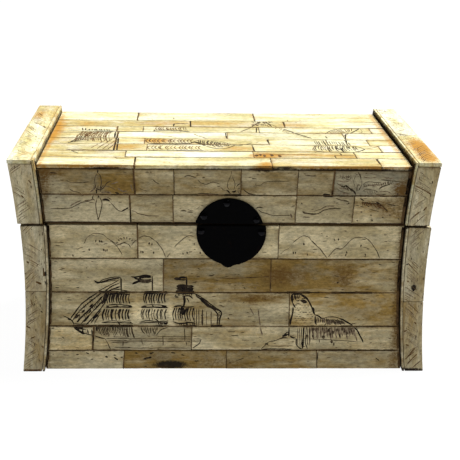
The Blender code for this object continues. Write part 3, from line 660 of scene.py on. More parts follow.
def draw_lid_front(pen):
    """Three compass stars among wavy lines."""
    lower = row_top("lid_front_row_1")
    pen.lines((
        # First star: two long petals, a dark knot, and rays to both sides
        (1.2, -73.6, 127.5, -73.8, 124.8),
        (0.6, -74, 124.6, -75.2, 122.4, -75.6, 119.2, -75.1, 115.8),
        (0.7, -73.4, 124.6, -72.2, 122.6, -71.8, 119, -72.6, 115),
        (1, -75.8, 116.4, -74.2, 114.9, -72, 114.7, -70.4, 116.4), (1.1, -74.6, 115, -74.8, 111.9),
        (1.1, -73, 112.4, -74, 109.6), (0.8, -71.2, 115, -69.5, 117.4, -68.4, 119, -66.4, 119.8),
        (0.5, -71, 116.9, -68.6, 116.7, -66, 116.1, -63.6, 114.2),
        (0.8, -90.2, 115, -88, 113.6, -85.4, 113.2, -83.2, 112.2, -79.6, 111.9),
        (1.1, -101, 124.6, -97.2, 124.4),
        (0.5, -92, 120.4, -90, 119.2, -86, 118.9, -82, 118.9, -78.6, 119.5),
        (1.6, -64, 113.2, -61.6, 112.4), (0.9, -59.6, 112.6, -56.6, 112.3),
        (0.8, -76.4, 111.4, -77, 109.4, -75.6, 108.2),
        (0.7, -78.6, 107.6, -83, 107, -87, 105, -89.6, 103.6, -93.4, 103.2, -97.4, 103, -101.4,
         103.1), (0.45, -83.6, 108.2, -86.4, 107, -88.6, 105.6), (0.8, -79.2, 106.8, -76.4, 107),
        (0.7, -74.6, 108.8, -75.3, 105.6, -75.1, 102.4, -74.4, 98.4, -74.2, 96.2),
        (0.65, -73, 110.4, -72, 108, -71.8, 104.8, -72.9, 100.2, -74, 96.4),
        (0.9, -74.3, 98.2, -74.2, 96), (1.6, -71.6, 108.4, -69.2, 108.8, -67.2, 107.8),
        (0.6, -66.8, 107.2, -64.8, 104.6, -62.4, 102.2, -60.4, 101.4),
        (1.1, -60.6, 101.4, -58.4, 102.7, -56.4, 103.8, -55.8, 103.9),
        (0.6, -52, 100.6, -50, 100, -46, 99.2, -43, 98.9, -38.6, 98.8),
        (0.8, -42.4, 121.2, -40.2, 119.2, -38.6, 118.6), (0.35, -50.6, 116, -47, 114.4, -43, 114),
        # Second star, whose knot touches the lock
        (0.8, 3.3, 127.5, 3.2, 124.4), (0.5, 2.9, 123.8, 1.3, 119.6, 1.1, 117, 2.2, 114.9),
        (0.5, 3.4, 123.8, 5.3, 119.4, 5.3, 117, 4.6, 114.8),
        (1.5, 0.4, 114.9, 1.8, 113.9, 2.5, 112.8), (1.6, 6.2, 114.8, 4.8, 113.8, 3.8, 114.2),
        (0.9, 2.4, 113.2, 3.4, 112.3), (0.8, 6.2, 116.8, 7.4, 118.2, 9, 119.2),
        (0.6, 6.8, 115.4, 8.8, 116.3), (0.8, 7.2, 114.8, 7.6, 113.4, 8.8, 112.3),
        (0.8, -24.2, 122.6, -22, 123.6, -20, 123.2, -17.2, 122.2),
        (0.6, -16.2, 121, -14.4, 119.2, -12, 118.4, -10, 118.8, -7.6, 119.6, -3, 118.6),
        (0.6, -2.8, 116.6, -1.4, 115.2, 0.2, 114.6), (0.9, -16.2, 112.9, -12, 112.7, -4, 112.4),
        (1, -26.2, 101.9, -24, 102.3, -22.6, 101.7), (0.8, -22.2, 101.5, -18.8, 101.4),
        (0.5, -17, 103.2, -14.8, 104.8), (0.8, 17.8, 104, 20, 104.7, 22.4, 104.1),
        (0.6, 19.4, 103.2, 21, 101.8, 24, 100.8, 28, 99.8, 33, 99.6, 38.4, 99.9),
        (0.9, 10.2, 115.6, 12, 114, 14, 112.8, 18, 112.3, 21.4, 112.2),
        (0.45, 15.6, 117.4, 20, 118, 22.4, 119.6, 26, 120.4, 37, 120.6),
        # Third star, much scratched
        (0.9, 64.6, 119.4, 66.6, 118.6, 68.4, 117.6, 70.6, 118, 72, 117),
        (1.3, 69.8, 118.6, 71.4, 117, 73.4, 115.8, 75.4, 114.2, 76.3, 112.8),
        (0.9, 69.4, 123.5, 71.2, 123.8), (0.8, 69.8, 121.9, 72.6, 121.8),
        (0.6, 65, 116.2, 67.4, 114.6, 69.6, 114, 72.2, 113.4),
        (0.9, 76.9, 127.5, 77.3, 125.6, 78.4, 123.6, 78.8, 121.8), (0.6, 74.8, 125.4, 76.6, 124.8),
        (0.45, 75.6, 124.2, 74.6, 121, 75.4, 117.6), (0.5, 79.2, 121.6, 79.4, 118.8, 78.6, 116.6),
        (0.8, 77.4, 119.2, 76.8, 117, 77, 114.4), (0.7, 78.8, 117.6, 77.7, 114.8),
        (0.6, 80.2, 118.8, 82, 120.4, 85, 120.4, 88, 120, 90.8, 120.1),
        (0.55, 80.4, 114.6, 82, 116, 84.4, 115.8, 87, 115.4, 89.4, 114.2),
        (1, 89.6, 115.8, 91, 117.4, 92.8, 118.1, 94.6, 118.6, 96.8, 119.7),
        (0.7, 90.6, 121.8, 96, 121.3, 100, 121, 103.6, 120.4), (0.7, 88, 113, 91, 112.6, 94, 113),
        (0.9, 64.8, 110.4, 67, 109.5, 70.4, 108.8, 72.8, 108), (1.2, 79, 110.4, 81.4, 108.8),
        (1.1, 80, 108, 85, 107.2, 89, 107, 91.2, 106.4, 92.8, 105.4, 94.2, 103.8, 95.8, 102.6),
        (1.5, 88.4, 108.2, 90.8, 107.2), (0.8, 94, 107.6, 97, 106.6, 100.2, 106.1),
        (0.9, 76.2, 106.1, 78.8, 106), (1, 79.4, 105.4, 81.4, 105),
        (0.5, 84.8, 103.8, 88, 103, 91, 102),
        # Wave between the second and the third star
        (0.95, 45.4, 102.6, 46.4, 101.3, 49, 100.9, 52.4, 100.5, 55, 101.1, 57.6, 102.7, 60.2,
         103.7, 63.4, 104, 68, 104),
        (0.5, 52, 102.2, 55.6, 103.4, 58, 105, 60.8, 105.8, 64.4, 105.7),
        (1.2, 44.4, 107.4, 45.2, 106.6), (0.8, 46, 98.7, 50, 98.6), (0.7, 46, 124, 52.6, 123.8)), bold=1.05)
    pen.lines((
        (0.5, 60, 119, 63, 118.7), (0.4, 60, 121, 62.6, 121.2),
        (0.6, 66, 124.4, 70, 122.8, 73, 124.2), (0.9, 65.4, 121, 69, 120.4, 73, 121.2),
        (1.1, 66, 117, 68.6, 116.2, 71, 116.4), (0.9, 68, 113.4, 72, 112.9),
        (0.6, 79.6, 123.6, 84, 122.8, 88, 123.6), (0.8, 80.2, 117.2, 83.6, 118.4, 88.4, 118),
        (0.9, 86, 119, 90, 118.6, 93, 120.6), (0.9, 92, 123.4, 96, 122.6, 98.4, 123.2),
        (0.9, 90, 114.6, 93.4, 114.8, 97, 113.8), (0.8, 98, 117.6, 101, 118.6),
        (0.5, 82, 125.6, 88, 125.2), (1.3, -78.4, 113.4, -76.4, 115.2, -75.6, 117),
        (1.2, -72, 112.6, -69, 113.4, -66, 112.8), (1.1, -76.4, 108.8, -78, 108.4, -81, 108),
        (0.8, -70.6, 110.6, -68.4, 110.2, -66, 108.8), (0.9, -90, 105, -87, 106.6, -84, 107.4),
        (1.1, -62.8, 116, -60, 113.8, -57, 114.4), (1, -55, 118, -54, 114),
        (0.9, -66, 118.6, -62, 119.2), (0.7, -54.6, 102.2, -51, 100.6),
        (1.8, 38.2, 100.8, 39.4, 98), (0.6, 56, 103.6, 60, 105.2, 66, 104.8)), SCRATCH, wobble=0.4)
    pen.hatch((65.6, 124.8, 74, 124.4), (66.6, 121.6, 74.6, 121.4), 7, 0.5, 0.1, 0.5)
    pen.hatch((66, 119.4, 75, 116.6), (68, 116, 76.6, 113.2), 8, 0.5, 0.1, 0.5)
    pen.hatch((80, 119, 90, 120.2), (81, 116.6, 91, 118), 8, 0.45, 0.1, 0.5)
    pen.hatch((90, 120, 98, 122), (91.6, 116.6, 98.8, 119), 7, 0.6, 0.1, 0.4)
    pen.hatch((81, 115.4, 89, 115.4), (82, 112.8, 90, 113), 6, 0.4, 0.1, 0.5)
    pen.hatch((80, 108.6, 92, 107), (80.6, 106, 96, 102.4), 12, 0.9, 0.1, 0.5, BROWN)
    pen.hatch((-76.6, 117.4, -70.4, 117.4), (-75, 113.6, -72.4, 113.4), 6, 0.6, 0.1, 0.4)
    for u, v in ((86, 100.2), (86.8, 96.9), (93, 98.8), (78, 96.6), (102.4, 98), (80.2, 102),
                 (97.2, 100.4), (90.2, 104.6), (99.6, 103.6), (84, 105.6), (72.4, 107.4),
                 (100.8, 113.4)):
        pen.curve((u - 0.5, v, u + 0.6, v - 0.2), 1.2, wobble=0.3, taper=0.4)
    pen.dashes(lower, ((-31, -1, 0.2), (-0.8, 9.6, 0.6), (57, 63, 0.9), (63.2, 102.6, 0.5)), INK)
    pen.curve((57.2, 112.8, 60.8, 112.6), 1.6, INK)
    pen.curve((62.9, 126.6, 62.9, 118, 62.8, 112.4), 0.8, FILLER)


def draw_lid_top(pen):
    """A flounder, a whale, a wooded hill and two fish, and the dark joints among them."""
    levels = [row_top(f"lid_top_row_{number}") for number in range(1, 8)]
    for level, runs in zip(levels, (
            ((-98, -54, 0.7), (-50, -10, 0.6), (26, 50, 0.9), (50, 82, 1.2)),
            ((-96, -60, 0.8), (-60, -14, 0.9), (-14, 17, 0.8), (18, 60, 1.1),
             (66, 80, 0.8)),
            ((-95, -68, 0.8), (-66, -18, 1.2), (-18, 0, 0.8), (17, 40, 0.5),
             (40, 82, 0.8)),
            ((-56, -18, 0.9), (4, 80, 0.6), (-104, -70, 0.7)),
            ((-98, -70, 0.8), (-64, -44, 0.4), (2, 28, 0.9), (28, 62, 0.7),
             (62, 78, 0.9), (80, 104, 0.4)),
            ((-67.6, -56, 1.3), (-56, -22, 0.7), (-20, 14, 0.7), (44, 72, 0.7),
             (72, 96, 0.8)),
            ((-60, -20, 0.9), (-20, 24, 1), (24, 58, 1.2), (58, 106, 1.3)))):
        pen.dashes(level, runs)
    pen.lines((
        # Black lines along some tiles
        (1.3, -68, 26.2, -67.8, 20, -67.6, 13), (0.9, -65.5, -5.8, -65.2, -20, -64.9, -35.6),
        (0.5, -104, 8.2, -96, 8, -70, 8.4), (0.9, -68.4, 11.2, -68.2, 0, -68, -5),
        (1.2, -30.6, 36.4, -26, 36.2, -20.8, 36.3), (1.1, -30.8, 36, -31.2, 28.2),
        (1.1, -49, -6.4, -49.2, -19.4), (0.6, 23.6, 62, 23.8, 46), (0.8, 43.6, 43.6, 43.4, 31),
        (0.7, 2.6, 11, 2.8, -4.6), (0.8, 28.2, -7, 28.6, -19.6), (0.8, 18.2, -21.4, 18.6, -35.6),
        (0.8, 26.6, -53, 26.6, -66), (0.7, 90, -53, 90.4, -66), (0.8, 66, -44.6, 78.6, -44.4),
        (0.7, 66.2, -45, 66.4, -50.8), (0.9, 78.6, -38, 79.2, -50.8)), INK)
    # Flounder: short fins over a body of slanting lines
    pen.lines((
        (0.8, -90, 12.8, -80, 11, -70, 11.2), (0.7, -92, -20.6, -80, -20, -69.2, -20.8),
        (0.8, -98.4, 14.4, -90, 14.6, -80, 14.2, -69.6, 13.2), (0.9, -90.6, 21, -89.8, 15),
        (0.8, -88.6, 20.6, -88, 15), (0.8, -91.4, -0.6, -92, -9, -95.2, -18.8),
        (1, -96, -19.2, -90.2, -13.2, -84.2, -9.2, -82, -6.4),
        (0.6, -80.6, -31, -77, -21, -72.4, -9), (0.7, -77, -33, -73.6, -22, -69.4, -8),
        (0.6, -73.6, -33.6, -70.6, -23, -67.4, -12), (0.8, -70.4, -34, -68.4, -26, -66.4, -19),
        (0.8, -94, -17.8, -88, -14.8, -83, -13.6), (0.8, -75.6, 5.6, -72, 9.6, -69.2, 12.4),
        (0.9, -88, 2, -84.4, 0.4), (0.6, -92.6, -27, -80, -26.6, -69.2, -27.2),
        (0.3, -92, -31, -80, -31.4, -69.2, -31), (0.8, -95.4, -34.9, -82, -34.6, -68.2, -34.9),
        (0.8, -93.8, -35, -90, -40.2, -87.2, -43.8), (0.6, -92, -37.6, -84, -38.4, -69, -38),
        (0.8, -97.4, -43.8, -95.6, -44.4), (0.6, -96.6, -24, -94.4, -24.6),
        (0.6, -66, -50.4, -63, -55.6, -59, -54.6, -56.4, -53.4), (0.7, -82, -56, -79.4, -57.4),
        (0.7, -74, -59.6, -71, -60.4), (0.5, -90, -57.6, -87, -58), (0.6, -36, -55, -34, -57)), bold=0.8)
    pen.hatch((-87, 18.6, -72, 17.4), (-86.6, 14.4, -71, 13.6), 9, 0.8, slot=INK)
    pen.hatch((-89.6, 12.6, -71, 11.4), (-93.6, -17.4, -69.6, -17.6), 19, 0.55, 0.05, 0.25)
    pen.hatch((-89.6, 12, -80, 8), (-91, 0, -84, -4), 7, 0.6)
    pen.hatch((-90.4, 0, -86, -2), (-93.4, -17, -88, -12), 5, 0.6, slot=FADED)
    # Whale: rows of ribs between long lines, and a scalloped tail
    pen.lines((
        (0.8, -43.8, 25.8, -34, 26.2, -23.4, 25.6),
        (1.5, -43.6, 17.4, -36, 17.6, -28, 16.2, -20.6, 13.2),
        (0.9, -43.8, 14.2, -36, 15.4, -29, 14.6), (0.9, -43.4, 18, -43.8, 13.4),
        (2, -46.4, -19.2, -40, -18.8, -30, -19, -21, -18),
        (1.6, -20.8, -18, -17.6, -14.6, -14.8, -18.2, -11, -23.4),
        (0.7, -18.6, -14, -14, -9.6, -8, -10.6, -2.6, -12.4, 3, -17.6, 7.4, -22),
        (0.9, -11, -23.4, -7, -28.4, -2.4, -30.8, 2.6, -28.6, 7.4, -22.4),
        (0.9, 0.2, -23.8, 8, -22.8, 14, -20, 18.6, -15.6),
        (1, -48.6, -35.4, -30, -35.2, -12, -35.6), (0.5, -46.8, -22.4, -30, -22.6, -14, -24.4),
        (0.8, -17.8, 7.6, -16, 3.2, -12.4, -1.6, -10, -5.2),
        (0.7, -34.6, 0.4, -31, -1.8, -28.8, -3.6), (0.5, -41, 4, -38, 2.4),
        (0.8, -31, 49.6, -31.6, 53.8), (0.4, -45.6, 46.8, -46.2, 50.4)), bold=0.85)
    pen.hatch((-31, 27.4, -22, 27.6), (-30, 24.8, -23, 24.4), 6, 0.7)
    pen.hatch((-43, 24.8, -22, 24.4), (-43, 18.4, -20.6, 15.6), 13, 0.65, 0.1)
    pen.hatch((-48, -7, -18, -7.4), (-47.4, -17.6, -18.6, -16.6), 15, 0.75, 0.15)
    pen.hatch((-45.6, -18, -20, -17.4), (-45.4, -20, -20, -20), 13, 1.1, slot=INK)
    pen.hatch((-46.2, -23, -13, -24.4), (-46, -34.4, -12, -34.6), 16, 0.6, 0.15)
    pen.hatch((-16, -10, -8, -11, 3, -17.6), (-12, -22, -4, -30, 5, -25.6), 15, 0.75, 0.12, 0.4,
              FADED)
    # Hill with trees on its crest
    hill = ((28.6, 43), (34, 36.4), (37.4, 28.4), (41.4, 22), (45.2, 17), (48.4, 11),
            (53.2, 4), (57.4, -2.2))
    pen.curve((12.8, 14.6, 16, 20, 20, 26.2, 22.4, 32.4, 26.2, 40.4, 28.6, 43), 1, FADED)
    pen.curve(hill[:4], 0.5)
    pen.curve(hill[3:], 1.3, INK)
    pen.hatch(hill[2:], (35.6, 22.4, 40, 14, 44, 8, 52, -1.4), 15, 0.6, 0.05, 0.5)
    pen.hatch((22, 45.6, 36, 45.6), (20.4, 38, 36.6, 37), 13, 0.9, 0.1, 0.6, FADED)
    pen.hatch((22.4, 36, 34.6, 36), (20, 28.6, 34.6, 28), 9, 0.9, 0.2, 0.5)
    pen.lines((
        (0.8, 23.8, 27.6, 23.4, 20, 22.8, 12.6), (0.8, 27.4, 44, 26.2, 38, 29.4, 33.6),
        (0.8, 31, 42, 33, 36, 34.2, 28.6), (0.9, 29.4, 37.4, 33.6, 39.6),
        (0.5, 14, 18, 18, 15, 20.4, 15.6), (0.5, 46.6, 50.4, 46.4, 46.6), (0.7, 60, 9.8, 64, 11.4),
        (0.8, 67, 4, 67.4, -1.6)), bold=0.75)
    # Flying fish
    pen.lines((
        (0.8, 67.6, 10, 71, 17, 74.6, 21.4, 78.6, 24.2, 84.6, 25.8, 92.2, 26.2),
        (1.1, 92.6, 26, 88.4, 18.6, 84.4, 12.6, 80.2, 8), (0.7, 71, 13, 77, 12.8, 84, 13.6),
        (0.9, 80.6, 8, 79.2, -2, 77.8, -18), (0.5, 86.6, 12, 91, 13.2, 93, 17.6, 92.8, 24)), bold=0.75)
    pen.hatch((70.4, 15.6, 76, 22.4, 88, 25.6), (72.4, 11.6, 80, 13, 86.6, 18.4), 11, 0.6)
    # Spiny fish
    upper = ((56, -21.8), (62, -20.9), (70, -20.8), (78, -21.4), (83.2, -23.8), (87.2, -28.6))
    lower = ((54.8, -32.6), (60, -35.6), (70, -36.9), (78, -36.8), (84.2, -33.2), (87.4, -28.8))
    pen.curve(upper, 0.9, FADED)
    pen.curve(lower, 1, INK)
    pen.hatch(upper[:5], lower[:5], 19, 0.6, 0.06, 0.35, FADED)
    pen.hatch((57, -9.4, 70, -9.8, 80, -11.6), (57.4, -20.6, 70, -20.4, 80.6, -21.4), 15, 0.55, 0,
              0.4, FADED)
    pen.lines((
        (1.3, 69.4, -26, 72, -30.4, 73.6, -27), (1.1, 72.6, -29, 73, -35.6),
        (0.9, 77, -22.6, 77.6, -28.6), (0.8, 63.8, -7.4, 64.6, -20, 65.2, -29),
        (0.7, 87.6, -28.8, 93, -25.6, 97.2, -21.6), (0.5, 87.6, -29.2, 91.6, -30.4, 94.8, -32.4),
        (0.8, 70.2, -38.4, 70.6, -43.6), (0.5, 54.6, -32.4, 55.2, -27)), bold=0.75)
    # Dark lumps in the orange row, and a thin line behind
    for u, v in ((19, -46), (21.4, -44.6), (23.8, -46.4), (28.2, -45.4), (33, -47)):
        pen.curve((u - 0.4, v + 2.4, u + 0.3, v, u - 0.2, v - 2.4), 1.9, FILLER, wobble=0.4)
    pen.curve((18.6, -42.4, 36, -43, 56, -42.2), 0.8, FILLER, wobble=0.5)
    pen.curve((5, 62.6, 50, 63.2, 99, 63), 0.3, SCRATCH)


def scatter_pits(pen, low, high, number, along_u=True):
    """Open pores: short dark dashes along the grain."""
    for _ in range(number):
        u = pen.random.uniform(low[0], high[0])
        v = pen.random.uniform(low[1], high[1])
        length = pen.random.uniform(0.7, 2.4)
        bend = pen.random.uniform(-0.25, 0.25)
        reach = (length, bend) if along_u else (bend, length)
        middle = (u + reach[0] / 2, v + reach[1] / 2 + bend)
        pen.curve(((u, v), middle, (u + reach[0], v + reach[1])), pen.random.uniform(0.25, 0.55),
                  PIT, wobble=0.1, taper=0.6)


def draw_dirt_and_shade(front, lid):
    """Black dirt and painted shade by the end boards and along the seam, and the scratches of long use."""
    # Dark bands by the end boards: dirt and painted shade, wider on the right
    for pen, prefix, count in ((front, "body", 5), (lid, "lid", 2)):
        for number in range(1, count + 1):
            levels, cuts, _, _ = row_cuts(f"{prefix}_front_row_{number}", 2, 1)
            low, high = levels[0] + 0.3, levels[-1] - 0.3
            for column, sign, width in ((0, 1, LEFT_DIRT_AND_SHADE[prefix]), (-1, -1, RIGHT_DIRT_AND_SHADE[prefix])):
                place = [(float(np.interp(v, levels, cuts[:, column])) + sign * (0.12 + width / 2), v)
                         for v in (low, (low + high) / 2, high)]
                pen.curve(place, width, FILLER, wobble=0.25, taper=0.3)
    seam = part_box("body_front_row_5")[1].z / MM
    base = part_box("lid_front_row_1")[0].z / MM
    # Black lines along the seam: painted shade in the gap, with dirt
    for pen, level, width in ((front, seam - 0.36, 0.6), (lid, base + 0.38, 0.9)):
        for start in range(-106, 106, 12):
            pen.curve(((start, level), (start + 6, level), (start + 12.5, level)), width, INK,
                      wobble=0.05, taper=0.2)
    front.lines((
        (0.8, -89.4, 9.6, -87.6, 9.9), (0.8, -83.4, 11, -81.6, 10.2), (0.8, -80.4, 6.4, -79, 6.8),
        (0.8, -71.8, 8.4, -70, 8), (0.7, -66.8, 9.4, -65, 9.2), (0.9, -66.4, 7.8, -63.8, 6.2),
        (0.9, -62.2, 7.8, -59.4, 7.9), (0.7, -61, 5.2, -60.2, 3), (0.8, -53.6, 11, -51.8, 10.6),
        (1, -48.6, 6.5, -43.6, 8), (0.9, -44.6, 10.2, -42, 11.2), (0.8, -31.6, 11, -29, 10.6),
        (0.7, -25.4, 9.6, -23.6, 9.2), (0.8, -103.6, 9.6, -102.8, 10),
        (0.6, -103.6, 27.2, -101.6, 27.5), (0.5, -97.6, 21.4, -96.2, 20.4),
        (0.6, -17, 5, -14.4, 5.4), (0.9, 22, 8.4, 22.8, 7.8), (0.4, 8, 5.2, 13, 7.2),
        (0.6, 94.6, 7.4, 97.2, 5.4), (1, 2.6, 34.3, 3.6, 33.8), (0.45, 5, 22.6, 9.4, 22.4),
        (0.45, 3, 24.8, 7.4, 24.9), (0.4, 11.6, 19.4, 16.2, 19.3), (0.45, -97.8, 65.2, -95.6, 64.9),
        (0.5, -93.6, 46, -91, 45.6), (0.5, -88.2, 53.6, -86.2, 53.9), (0.5, -100.6, 54, -98, 53.6),
        (1.4, 68.2, 57.6, 69, 57), (0.9, 79.6, 58, 80.2, 57.6), (1, 31.4, 74, 32.8, 74.2),
        (0.6, 12, 54, 13, 53.2), (0.5, 47, 46.8, 49.4, 46.9), (0.6, 92.6, 69.4, 93.8, 69),
        (0.5, -9, 61.8, -6, 61.6), (0.5, -15.6, 66.2, -14.4, 65.6)), wobble=0.2, taper=0.5)
    for _ in range(90):
        u = front.random.uniform(-102, 102)
        v = front.random.uniform(1.5, 92)
        reach = front.random.uniform(0.8, 3.2)
        front.curve(((u, v), (u + reach, v + front.random.uniform(-0.5, 0.5))),
                    front.random.uniform(0.22, 0.5), front.random.choice((FADED, SCRATCH, INK)),
                    wobble=0.2, taper=0.5)


# Stains, grime and painted shade

PANEL_Y = -70      # the front
FACING_Y = -73     # the facings of the end boards
TOP_Z = 130
BAND_Z = 133       # the bands over the end boards


def on_front(y, depth, *rows):
    """Blobs at one Y: where along X and Z, how far along X and Z, how strong."""
    return [((x, y, z), (wide, depth, high), strength) for x, z, wide, high, strength in rows]


def on_top(z, depth, *rows):
    """Blobs at one Z: where along X and Y, how far along X and Y, how strong."""
    return [((x, y, z), (wide, long, depth), strength) for x, y, wide, long, strength in rows]


# Brown stains: on the front, in the corners by the end boards together with painted shade there, on the
# front edge of the top, a brown band along the left lid strip's inner side, and rust and dirt on the bands
# and the top
STAINS_AND_SHADE = (
    *on_front(PANEL_Y, 9,
        (90, 107, 13, 3, 0.42), (98, 101.5, 8, 3, 0.35), (102.5, 116, 4.5, 5, 0.75),
        (-104.6, 118, 3.4, 12, 0.5), (-100, 124.6, 9, 3, 0.4), (-60, 116.5, 6.5, 4.5, 0.22),
        (33, 62, 9, 6.5, 0.75), (48, 62, 8, 8, 0.22), (72, 62, 7, 9, 0.5), (17, 45.5, 3, 2.6, 0.35),
        (22, 47.4, 16, 2.6, 0.45), (-2, 4, 25, 4, 0.3), (-45, 8, 16, 3, 0.25), (66, 24, 11, 5, 0.2)),
    # painted shade with the stain in the corners by the end boards, wider on the right
    *on_front(PANEL_Y, 1.8, (-106.6, 45, 2.2, 60, 0.45), (106, 50, 3.2, 75, 0.6)),
    *on_front(PANEL_Y, 1.5,
        (-80, 128.6, 27, 1.6, 0.85), (22, 128.6, 5, 1.6, 0.6), (70, 128.8, 34, 1.4, 1)),
    *on_top(BAND_Z, 5,
        (119.8, -36, 5.4, 19, 1.25), (119.5, -62, 5.6, 9, 0.8), (-121.4, 44, 3.4, 14, 0.55),
        (-116, -58, 4, 9, 0.25)),
    *on_top(TOP_Z, 2.5, (106.4, 10, 2.2, 90, 0.5), (-105, 18, 3.4, 30, 0.6)),
    *on_top(131, 1.7, (-107.2, 0, 1.5, 80, 1.2)),
    *on_top(TOP_Z, 3,
        (-88, 34, 7, 8, 0.3), (-40, 36, 18, 8, 0.28), (-42, -12, 9, 6, 0.7),
        (-60, -28, 10, 7, 0.38), (8, -29.5, 10, 6, 0.35), (24, -46, 9, 5, 0.95),
        (52, -44, 26, 3, 0.4), (73, -48.5, 7, 3.4, 0.35), (23.5, -66, 4, 5, 0.7),
        (-35, -62, 3, 3, 0.35), (0, 37, 21, 7, 0.25), (50, 34, 10, 7, 0.35)),
)
# Ochre clouds
OCHRE = (
    *on_front(PANEL_Y, 9,
        (50, 61.5, 28, 11, 1.1), (33, 62.5, 11, 7, 0.85), (-60, 117, 11, 7, 0.8),
        (-85, 124, 22, 6, 0.4), (-92, 17, 7, 4, 0.3), (92, 42, 18, 8, 0.55), (47, 44, 7, 9, -0.45),
        (86, 45, 22, 5, 0.45), (-30, 6, 26, 6, 0.2), (96, 103, 10, 8, 0.45),
        (-22, 98.5, 6, 3, 0.35), (-8, 34, 16, 8, 0.2), (-20, 62, 18, 8, 0.2),
        (20, 47, 18, 3.6, 0.6)),
    *on_front(PANEL_Y, 1.5, (-35, 129, 24, 2, 0.8), (70, 129, 20, 2, 0.5)),
    *on_front(FACING_Y, 3, (-114, 18, 12, 30, 0.4), (115, 24, 12, 36, 0.4)),
    *on_top(TOP_Z, 4,
        (-106, 0, 12, 60, 0.45), (-88, 34, 12, 12, 0.6), (-40, 36, 24, 12, 0.55),
        (0, 37, 22, 9, 0.6), (50, 34, 12, 9, 0.6), (-42, -8, 20, 12, 0.35), (-60, -28, 16, 9, 0.55),
        (-62, 12, 5, 14, 0.45), (8, -30, 14, 8, 0.5), (28, -31, 12, 6, 0.4), (46, -46, 34, 7, 0.5),
        (7, 6, 5, 7, 0.3), (96, 54, 8, 9, 0.6), (104, -12, 6, 9, 0.45), (24, -66, 6, 7, 0.6)),
    *on_top(BAND_Z, 5,
        (-117, 46, 9, 22, 0.7), (-116, -60, 8, 16, 0.25), (117, -50, 7, 30, 0.6),
        (118, 24, 3, 36, 0.35)),
)
# Blackish grime and painted shade: grime in a smudge by the foot and in the old nail hole and the chips in
# the facings; painted shade in the right-hand corner, under the front edge of the top, along the seam and
# in the gap behind the plate; and darker along the feet
GRIME_AND_SHADE = (
    *on_front(PANEL_Y, 1.5, (-32, 2.8, 8, 2.2, 1.5)),
    # painted shade in the right-hand corner by the end board
    *on_front(-69.7, 1.4, (108, 110, 1.6, 30, 0.9)),
    # painted shadow under the front edge of the top
    *on_front(-69.8, 0.9,
        (-70, 127.8, 10, 0.7, 1.4), (-96, 127.8, 14, 0.6, 0.45), (-10, 127.7, 40, 0.4, 0.8),
        (22, 127.5, 6, 0.7, 1.5), (34, 128.4, 6, 0.8, 0.9), (75, 127.6, 34, 0.5, 1.2)),
    *on_front(FACING_Y, 3, (114.1, 55.5, 1, 1.3, 2.8)),
    *on_front(FACING_Y, 1.6, (-105.6, 63.8, 0.9, 1.2, 1.2), (-105.2, 58, 0.8, 0.9, 1)),
    # painted shade along the seam across the facings, and darker along their feet
    *on_front(FACING_Y, 2,
        (-115.2, 94.1, 11, 0.55, 1.6), (115.2, 94.1, 11, 0.55, 1.8), (-114, 0, 9, 1.1, 0.7),
        (115, 0.4, 9, 1.3, 1.2)),
    # painted shade along the seam
    *on_front(-69.8, 1, (0, 94.1, 106, 0.35, 1)),
    # painted shade in the gap behind the plate
    *on_front(-69, 3, (2.4, 94.1, 13, 1.2, 3)),
)
# Paler and darker clouds, added to a tile's lightness, and painted shade: dark strips on the facings beside
# the lid's front
PALE_AND_SHADE = (
    *on_front(PANEL_Y, 1.5, (-35, 129, 22, 2, 0.5)),
    *on_front(PANEL_Y, 9,
        (-83, 25.6, 4.6, 3.2, -0.45), (-72.5, 16.4, 6.5, 4.5, 0.34), (28, 83, 4, 10, 0.3),
        (94, 62, 10, 9, 0.16), (-52.5, 39, 3, 11, 0.55), (-31.6, 38, 2, 11, 0.4),
        (-62, 36, 9, 6, 0.15), (-42, 36, 7, 6, 0.2), (-60, 118, 8, 6, 0.1), (-30, 22, 10, 6, 0.12),
        (8, 22, 18, 6, 0.12), (48, 37, 5, 7, 0.26), (6, 54, 16, 5, 0.12), (92, 117, 7, 5, 0.2)),
    *on_top(TOP_Z, 3, (26, -45, 12, 6, -0.2)),
    *on_top(TOP_Z, 4,
        (-60, 12, 4, 9, 0.1), (-54, 5, 7, 9, 0.3), (80, 34, 18, 8, 0.25), (94, -32, 14, 12, 0.3),
        (-20, -44, 34, 6, 0.3)),
    *on_top(BAND_Z, 5, (117, 50, 8, 22, 0.3)),
    # painted shade: dark strips on the facings beside the lid's front
    *on_front(FACING_Y, 1.2, *((side * x, z, 1, 9, -0.28) for side in (-1, 1)
                                for x, z in ((106.9, 98), (108.2, 110), (109.8, 124)))),
)


def blend(blobs, points):
    """How strongly the blobs lie on each point."""
    total = np.zeros(len(points))
    for centre, reach, strength in blobs:
        far = (((points - np.array(centre)) / np.array(reach)) ** 2).sum(axis=1)
        total += strength * np.exp(-far)
    return total


# Outlines

def inward_normals(outline):
    """For an outline that runs anticlockwise."""
    chord = np.roll(outline, -1, axis=0) - np.roll(outline, 1, axis=0)
    chord /= np.linalg.norm(chord, axis=1)[:, None]
    return np.stack((-chord[:, 1], chord[:, 0]), axis=1)


def turns_left(corners):
    """Whether a four-sided outline turns left at each of its corners."""
    a = np.array(corners)
    out = np.roll(a, -1, axis=0) - a
    back = np.roll(out, 1, axis=0)
    return (back[:, 0] * out[:, 1] - back[:, 1] * out[:, 0] > 1e-5).all()


def distance_to(outline, points):
    ends = np.roll(outline, -1, axis=0)
    step = ends - outline
    rel = points[:, None, :] - outline[None]
    share = np.clip((rel * step).sum(2) / (step ** 2).sum(1), 0, 1)
    gap = rel - share[..., None] * step
    return np.sqrt((gap ** 2).sum(2).min(1))


